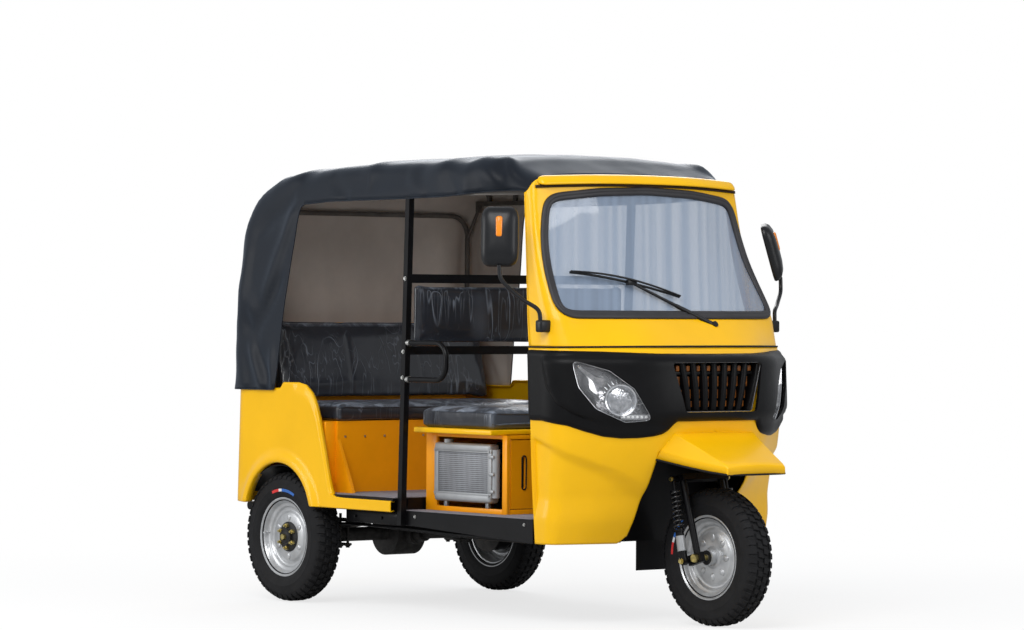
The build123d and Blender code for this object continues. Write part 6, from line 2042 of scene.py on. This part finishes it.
# columns: distance in front of the axle, up the fork, both ends across, radius, sides
STRUT_PINS = [(-0.044, 0, 0.112, 0.152, 0.0085, 16), (-0.012, 0.325, 0.118, 0.150, 0.0095, 16),
              (-0.044, 0, 0.128, 0.148, 0.0165, 20)]
STRUT_Y = 0.138
spring_black = surface("spring black", (0.010, 0.010, 0.011), 0.24, coat=0.6, mottle=(0.2, 6))
for side, name in SIDES:
    mesh = bmesh.new()
    y = side * STRUT_Y
    for (fore, up), (fore_end, up_end), radius, sides in STRUT:
        bar(mesh, on_fork(fore, y, up), on_fork(fore_end, y, up_end), radius, sides)
    for fore, up, near, far, radius, sides in STRUT_PINS:
        bar(mesh, on_fork(fore, side * near, up), on_fork(fore, side * far, up), radius, sides)
    normals_out(mesh)
    fit("strut_body_" + name, mesh, "steering", black_enamel, instead_of=["front_struts"],
        crease=40)
    mesh = bmesh.new()
    coil(mesh, on_fork(-0.036, y, 0.128), on_fork(-0.0145, y, 0.276), 0.0188, 0.0043, 8)
    fit("strut_spring_" + name, mesh, "steering", spring_black, crease=60)
    mesh = bmesh.new()
    bar(mesh, on_fork(-0.0425, y, 0.040), on_fork(-0.0375, y, 0.100), 0.0185, 24)
    fit("strut_sleeve_" + name, mesh, "steering", cast_grey, crease=40)
    mesh = bmesh.new()
    bolt(mesh, on_fork(-0.044, side * 0.152, 0), (0, side, 0), 0.009)
    bolt(mesh, on_fork(-0.012, side * 0.150, 0.325), (0, side, 0), 0.008)
    bar(mesh, (AXLE.x, side * 0.0600, AXLE.z), (AXLE.x, side * 0.0920, AXLE.z), 0.0125, 24)
    fit("strut_nuts_" + name, mesh, "steering", yellow_zinc)
bar_mid = AXLE + axis_up * 0.720
GRIP_RINGS = 17
GRIP_PITCH = 0.0062
BAR_LINE = [(-0.155, 0.320, 0.026), (-0.060, 0.225, 0.022), (0.0, 0.090, 0.0)]
paint(bright_zinc, "handlebar")
for side, name in SIDES:
    ends = [bar_mid + Vector((back, side * y, up)) for back, y, up in BAR_LINE]
    way = (ends[1] - ends[0]).normalized()
    mesh = bmesh.new()
    for step in range(GRIP_RINGS):
        at = ends[0] + way * (0.004 + step * GRIP_PITCH)
        bar(mesh, at - way * 0.0021, at + way * 0.0021, 0.0178, 24)
    for start, stop, radius in ((-0.006, 0.002, 0.0192), (0.103, 0.110, 0.0195), (-0.003, 0.108, 0.0173)):
        bar(mesh, ends[0] + way * start, ends[0] + way * stop, radius, 24)
    normals_out(mesh)
    fit("grip_" + name, mesh, "steering", black_rubber)
    mesh = bmesh.new()
    root = ends[0] + way * 0.125
    turn = way.to_track_quat("X", "Z").to_matrix().to_4x4()
    pod = bmesh.new()
    block(pod, (-0.014, -0.017, -0.016), (0.018, 0.017, 0.018), 0.005, 3)
    bmesh.ops.transform(pod, matrix=Matrix.Translation(root) @ turn, verts=pod.verts)
    holder = baked("pod", pod)
    mesh.from_mesh(holder)
    bpy.data.meshes.remove(holder)
    ahead = way.cross(Vector((0, 0, 1))).normalized()
    ahead = ahead if ahead.x > 0 else -ahead
    lever = [root + ahead * 0.015, root + ahead * 0.036 - way * 0.012, root + ahead * 0.042 - way * 0.055,
             root + ahead * 0.040 - way * 0.100, root + ahead * 0.044 - way * 0.128]
    add_tube(mesh, lever, 0.0046, 3)
    normals_out(mesh)
    fit("lever_" + name, mesh, "steering", mirror_black, crease=40)

# ---------------------------------------------------------------- dashboard and mud flap
# A fine-grained grey plastic moulding behind the screen, fixed to the bulkhead, and a plain rubber flap
# that hangs behind the front wheel.
dash_grey = surface("dashboard moulding", (0.075, 0.076, 0.080), 0.60, mottle=(0.08, 9), grain=(0.18, 900))
paint(dash_grey, "dashboard")
paint(black_rubber, "front_mud_flap")

# ---------------------------------------------------------------- floor edge rails
# Folded steel rails below the rear floor's edges, enamelled black with the frame. They reach forward to
# the door posts and carry the floor's edges.
mesh = bmesh.new()
for side in (-1, 1):
    ends = sorted((side * 0.498, side * 0.540))
    block(mesh, rear(0.335, ends[0], 0.352), rear(0.792, ends[1], 0.402), 0.003)
    for x in (0.40, 0.58, 0.74):
        bolt(mesh, rear(x, side * 0.540, 0.377), (0, side, 0), 0.006)
fit("floor_edge_rails", mesh, "body", black_enamel)

# ---------------------------------------------------------------- floor, light and camera
# A pale studio floor that runs into a white surround, one broad soft key from the front right and
# two fills, so the paint shows its own colour. The camera stands low and far off, with a long lens.
CAMERA_AT = (12.88491, -10.78267, 1.27566)
CAMERA_YAW = radians(50.499)
CAMERA_PITCH = radians(0.191)
CAMERA_ROLL = radians(0.362)
CAMERA_LENS = 142.30
SENSOR = 36.0

floor_white, tree, shader = new_finish("studio floor")
settle(shader, Base_Color=(0.50, 0.50, 0.50, 1), Roughness=0.9)
glow = node_value(tree, "Emission", Strength=1.0)
ray = node_value(tree, "LightPath")
bright = node_value(tree, "BsdfDiffuse", Color=(0.93, 0.93, 0.93, 1))
place = node_value(tree, "TexCoord")
reach = node_value(tree, "VectorMath", operation="LENGTH")
whiter = node_value(tree, "MapRange", From_Min=1.6, From_Max=4.5, To_Min=0.74, To_Max=1.0)
shown = node_value(tree, "MixShader")
pick = node_value(tree, "MixShader")
wire(tree, (place, "Object", reach, "Vector"), (reach, "Value", whiter, "Value"),
     (whiter, "Result", shown, "Fac"), (bright, "BSDF", shown, 1), (glow, "Emission", shown, 2),
     (ray, "Is Camera Ray", pick, "Fac"), (shader, "BSDF", pick, 1), (shown, "Shader", pick, 2))
wire(tree, (pick, "Shader", tree.nodes["Material Output"], "Surface"))
mesh = bmesh.new()
bmesh.ops.create_grid(mesh, x_segments=2, y_segments=2, size=60)
studio_floor = placed("studio_floor", baked("studio_floor", mesh))
studio_floor.data.materials.append(floor_white)
studio_floor.location.z = -0.001

world = bpy.data.worlds.new("surround")
bpy.context.scene.world = world
world.use_nodes = True
tree = world.node_tree
light = tree.nodes["Background"]
settle(light, Color=(0.93, 0.96, 1.0, 1), Strength=0.55)
seen = node_value(tree, "Background", Strength=1.0, Color=(1, 1, 1, 1))
ray = node_value(tree, "LightPath")
either = node_value(tree, "Math", operation="MAXIMUM")
pick = node_value(tree, "MixShader")
wire(tree, (ray, "Is Camera Ray", either, 0), (ray, "Is Transmission Ray", either, 1),
     (either, "Value", pick, "Fac"), (light, "Background", pick, 1), (seen, "Background", pick, 2))
wire(tree, (pick, "Shader", tree.nodes["World Output"], "Surface"))

LAMPS = [("key", (3.5, -5.5, 5.5), (0, 0, 0.9), 4.0, 330),
         ("front_fill", (7.0, 1.5, 3.0), (0.6, 0, 0.8), 3.5, 130),
         ("side_fill", (-3.5, -6.0, 2.2), (-0.4, 0, 0.8), 3.0, 110),
         ("back", (-5.0, 4.0, 4.5), (0, 0, 1.0), 4.0, 150)]
for name, at, aim, size, power in LAMPS:
    lamp = bpy.data.lights.new(name, "AREA")
    lamp.shape = "SQUARE"
    lamp.size = size
    lamp.energy = power
    holder = placed(name, lamp)
    holder.location = at
    holder.rotation_euler = (Vector(aim) - Vector(at)).to_track_quat("-Z", "Y").to_euler()

camera_data = bpy.data.cameras.new("camera")
camera_data.sensor_width = SENSOR
camera_data.lens = CAMERA_LENS
camera_data.clip_end = 200
camera = placed("camera", camera_data)
look = Vector((-sin(CAMERA_YAW) * cos(CAMERA_PITCH), cos(CAMERA_YAW) * cos(CAMERA_PITCH), -sin(CAMERA_PITCH)))
level = Vector((cos(CAMERA_YAW), sin(CAMERA_YAW), 0))
up = level.cross(look)
right = level * cos(CAMERA_ROLL) + up * sin(CAMERA_ROLL)
up = up * cos(CAMERA_ROLL) - level * sin(CAMERA_ROLL)
camera.matrix_world = Matrix.Translation(CAMERA_AT) @ Matrix((right, up, -look)).transposed().to_4x4()
bpy.context.scene.camera = camera
bpy.context.scene.view_settings.view_transform = "Standard"
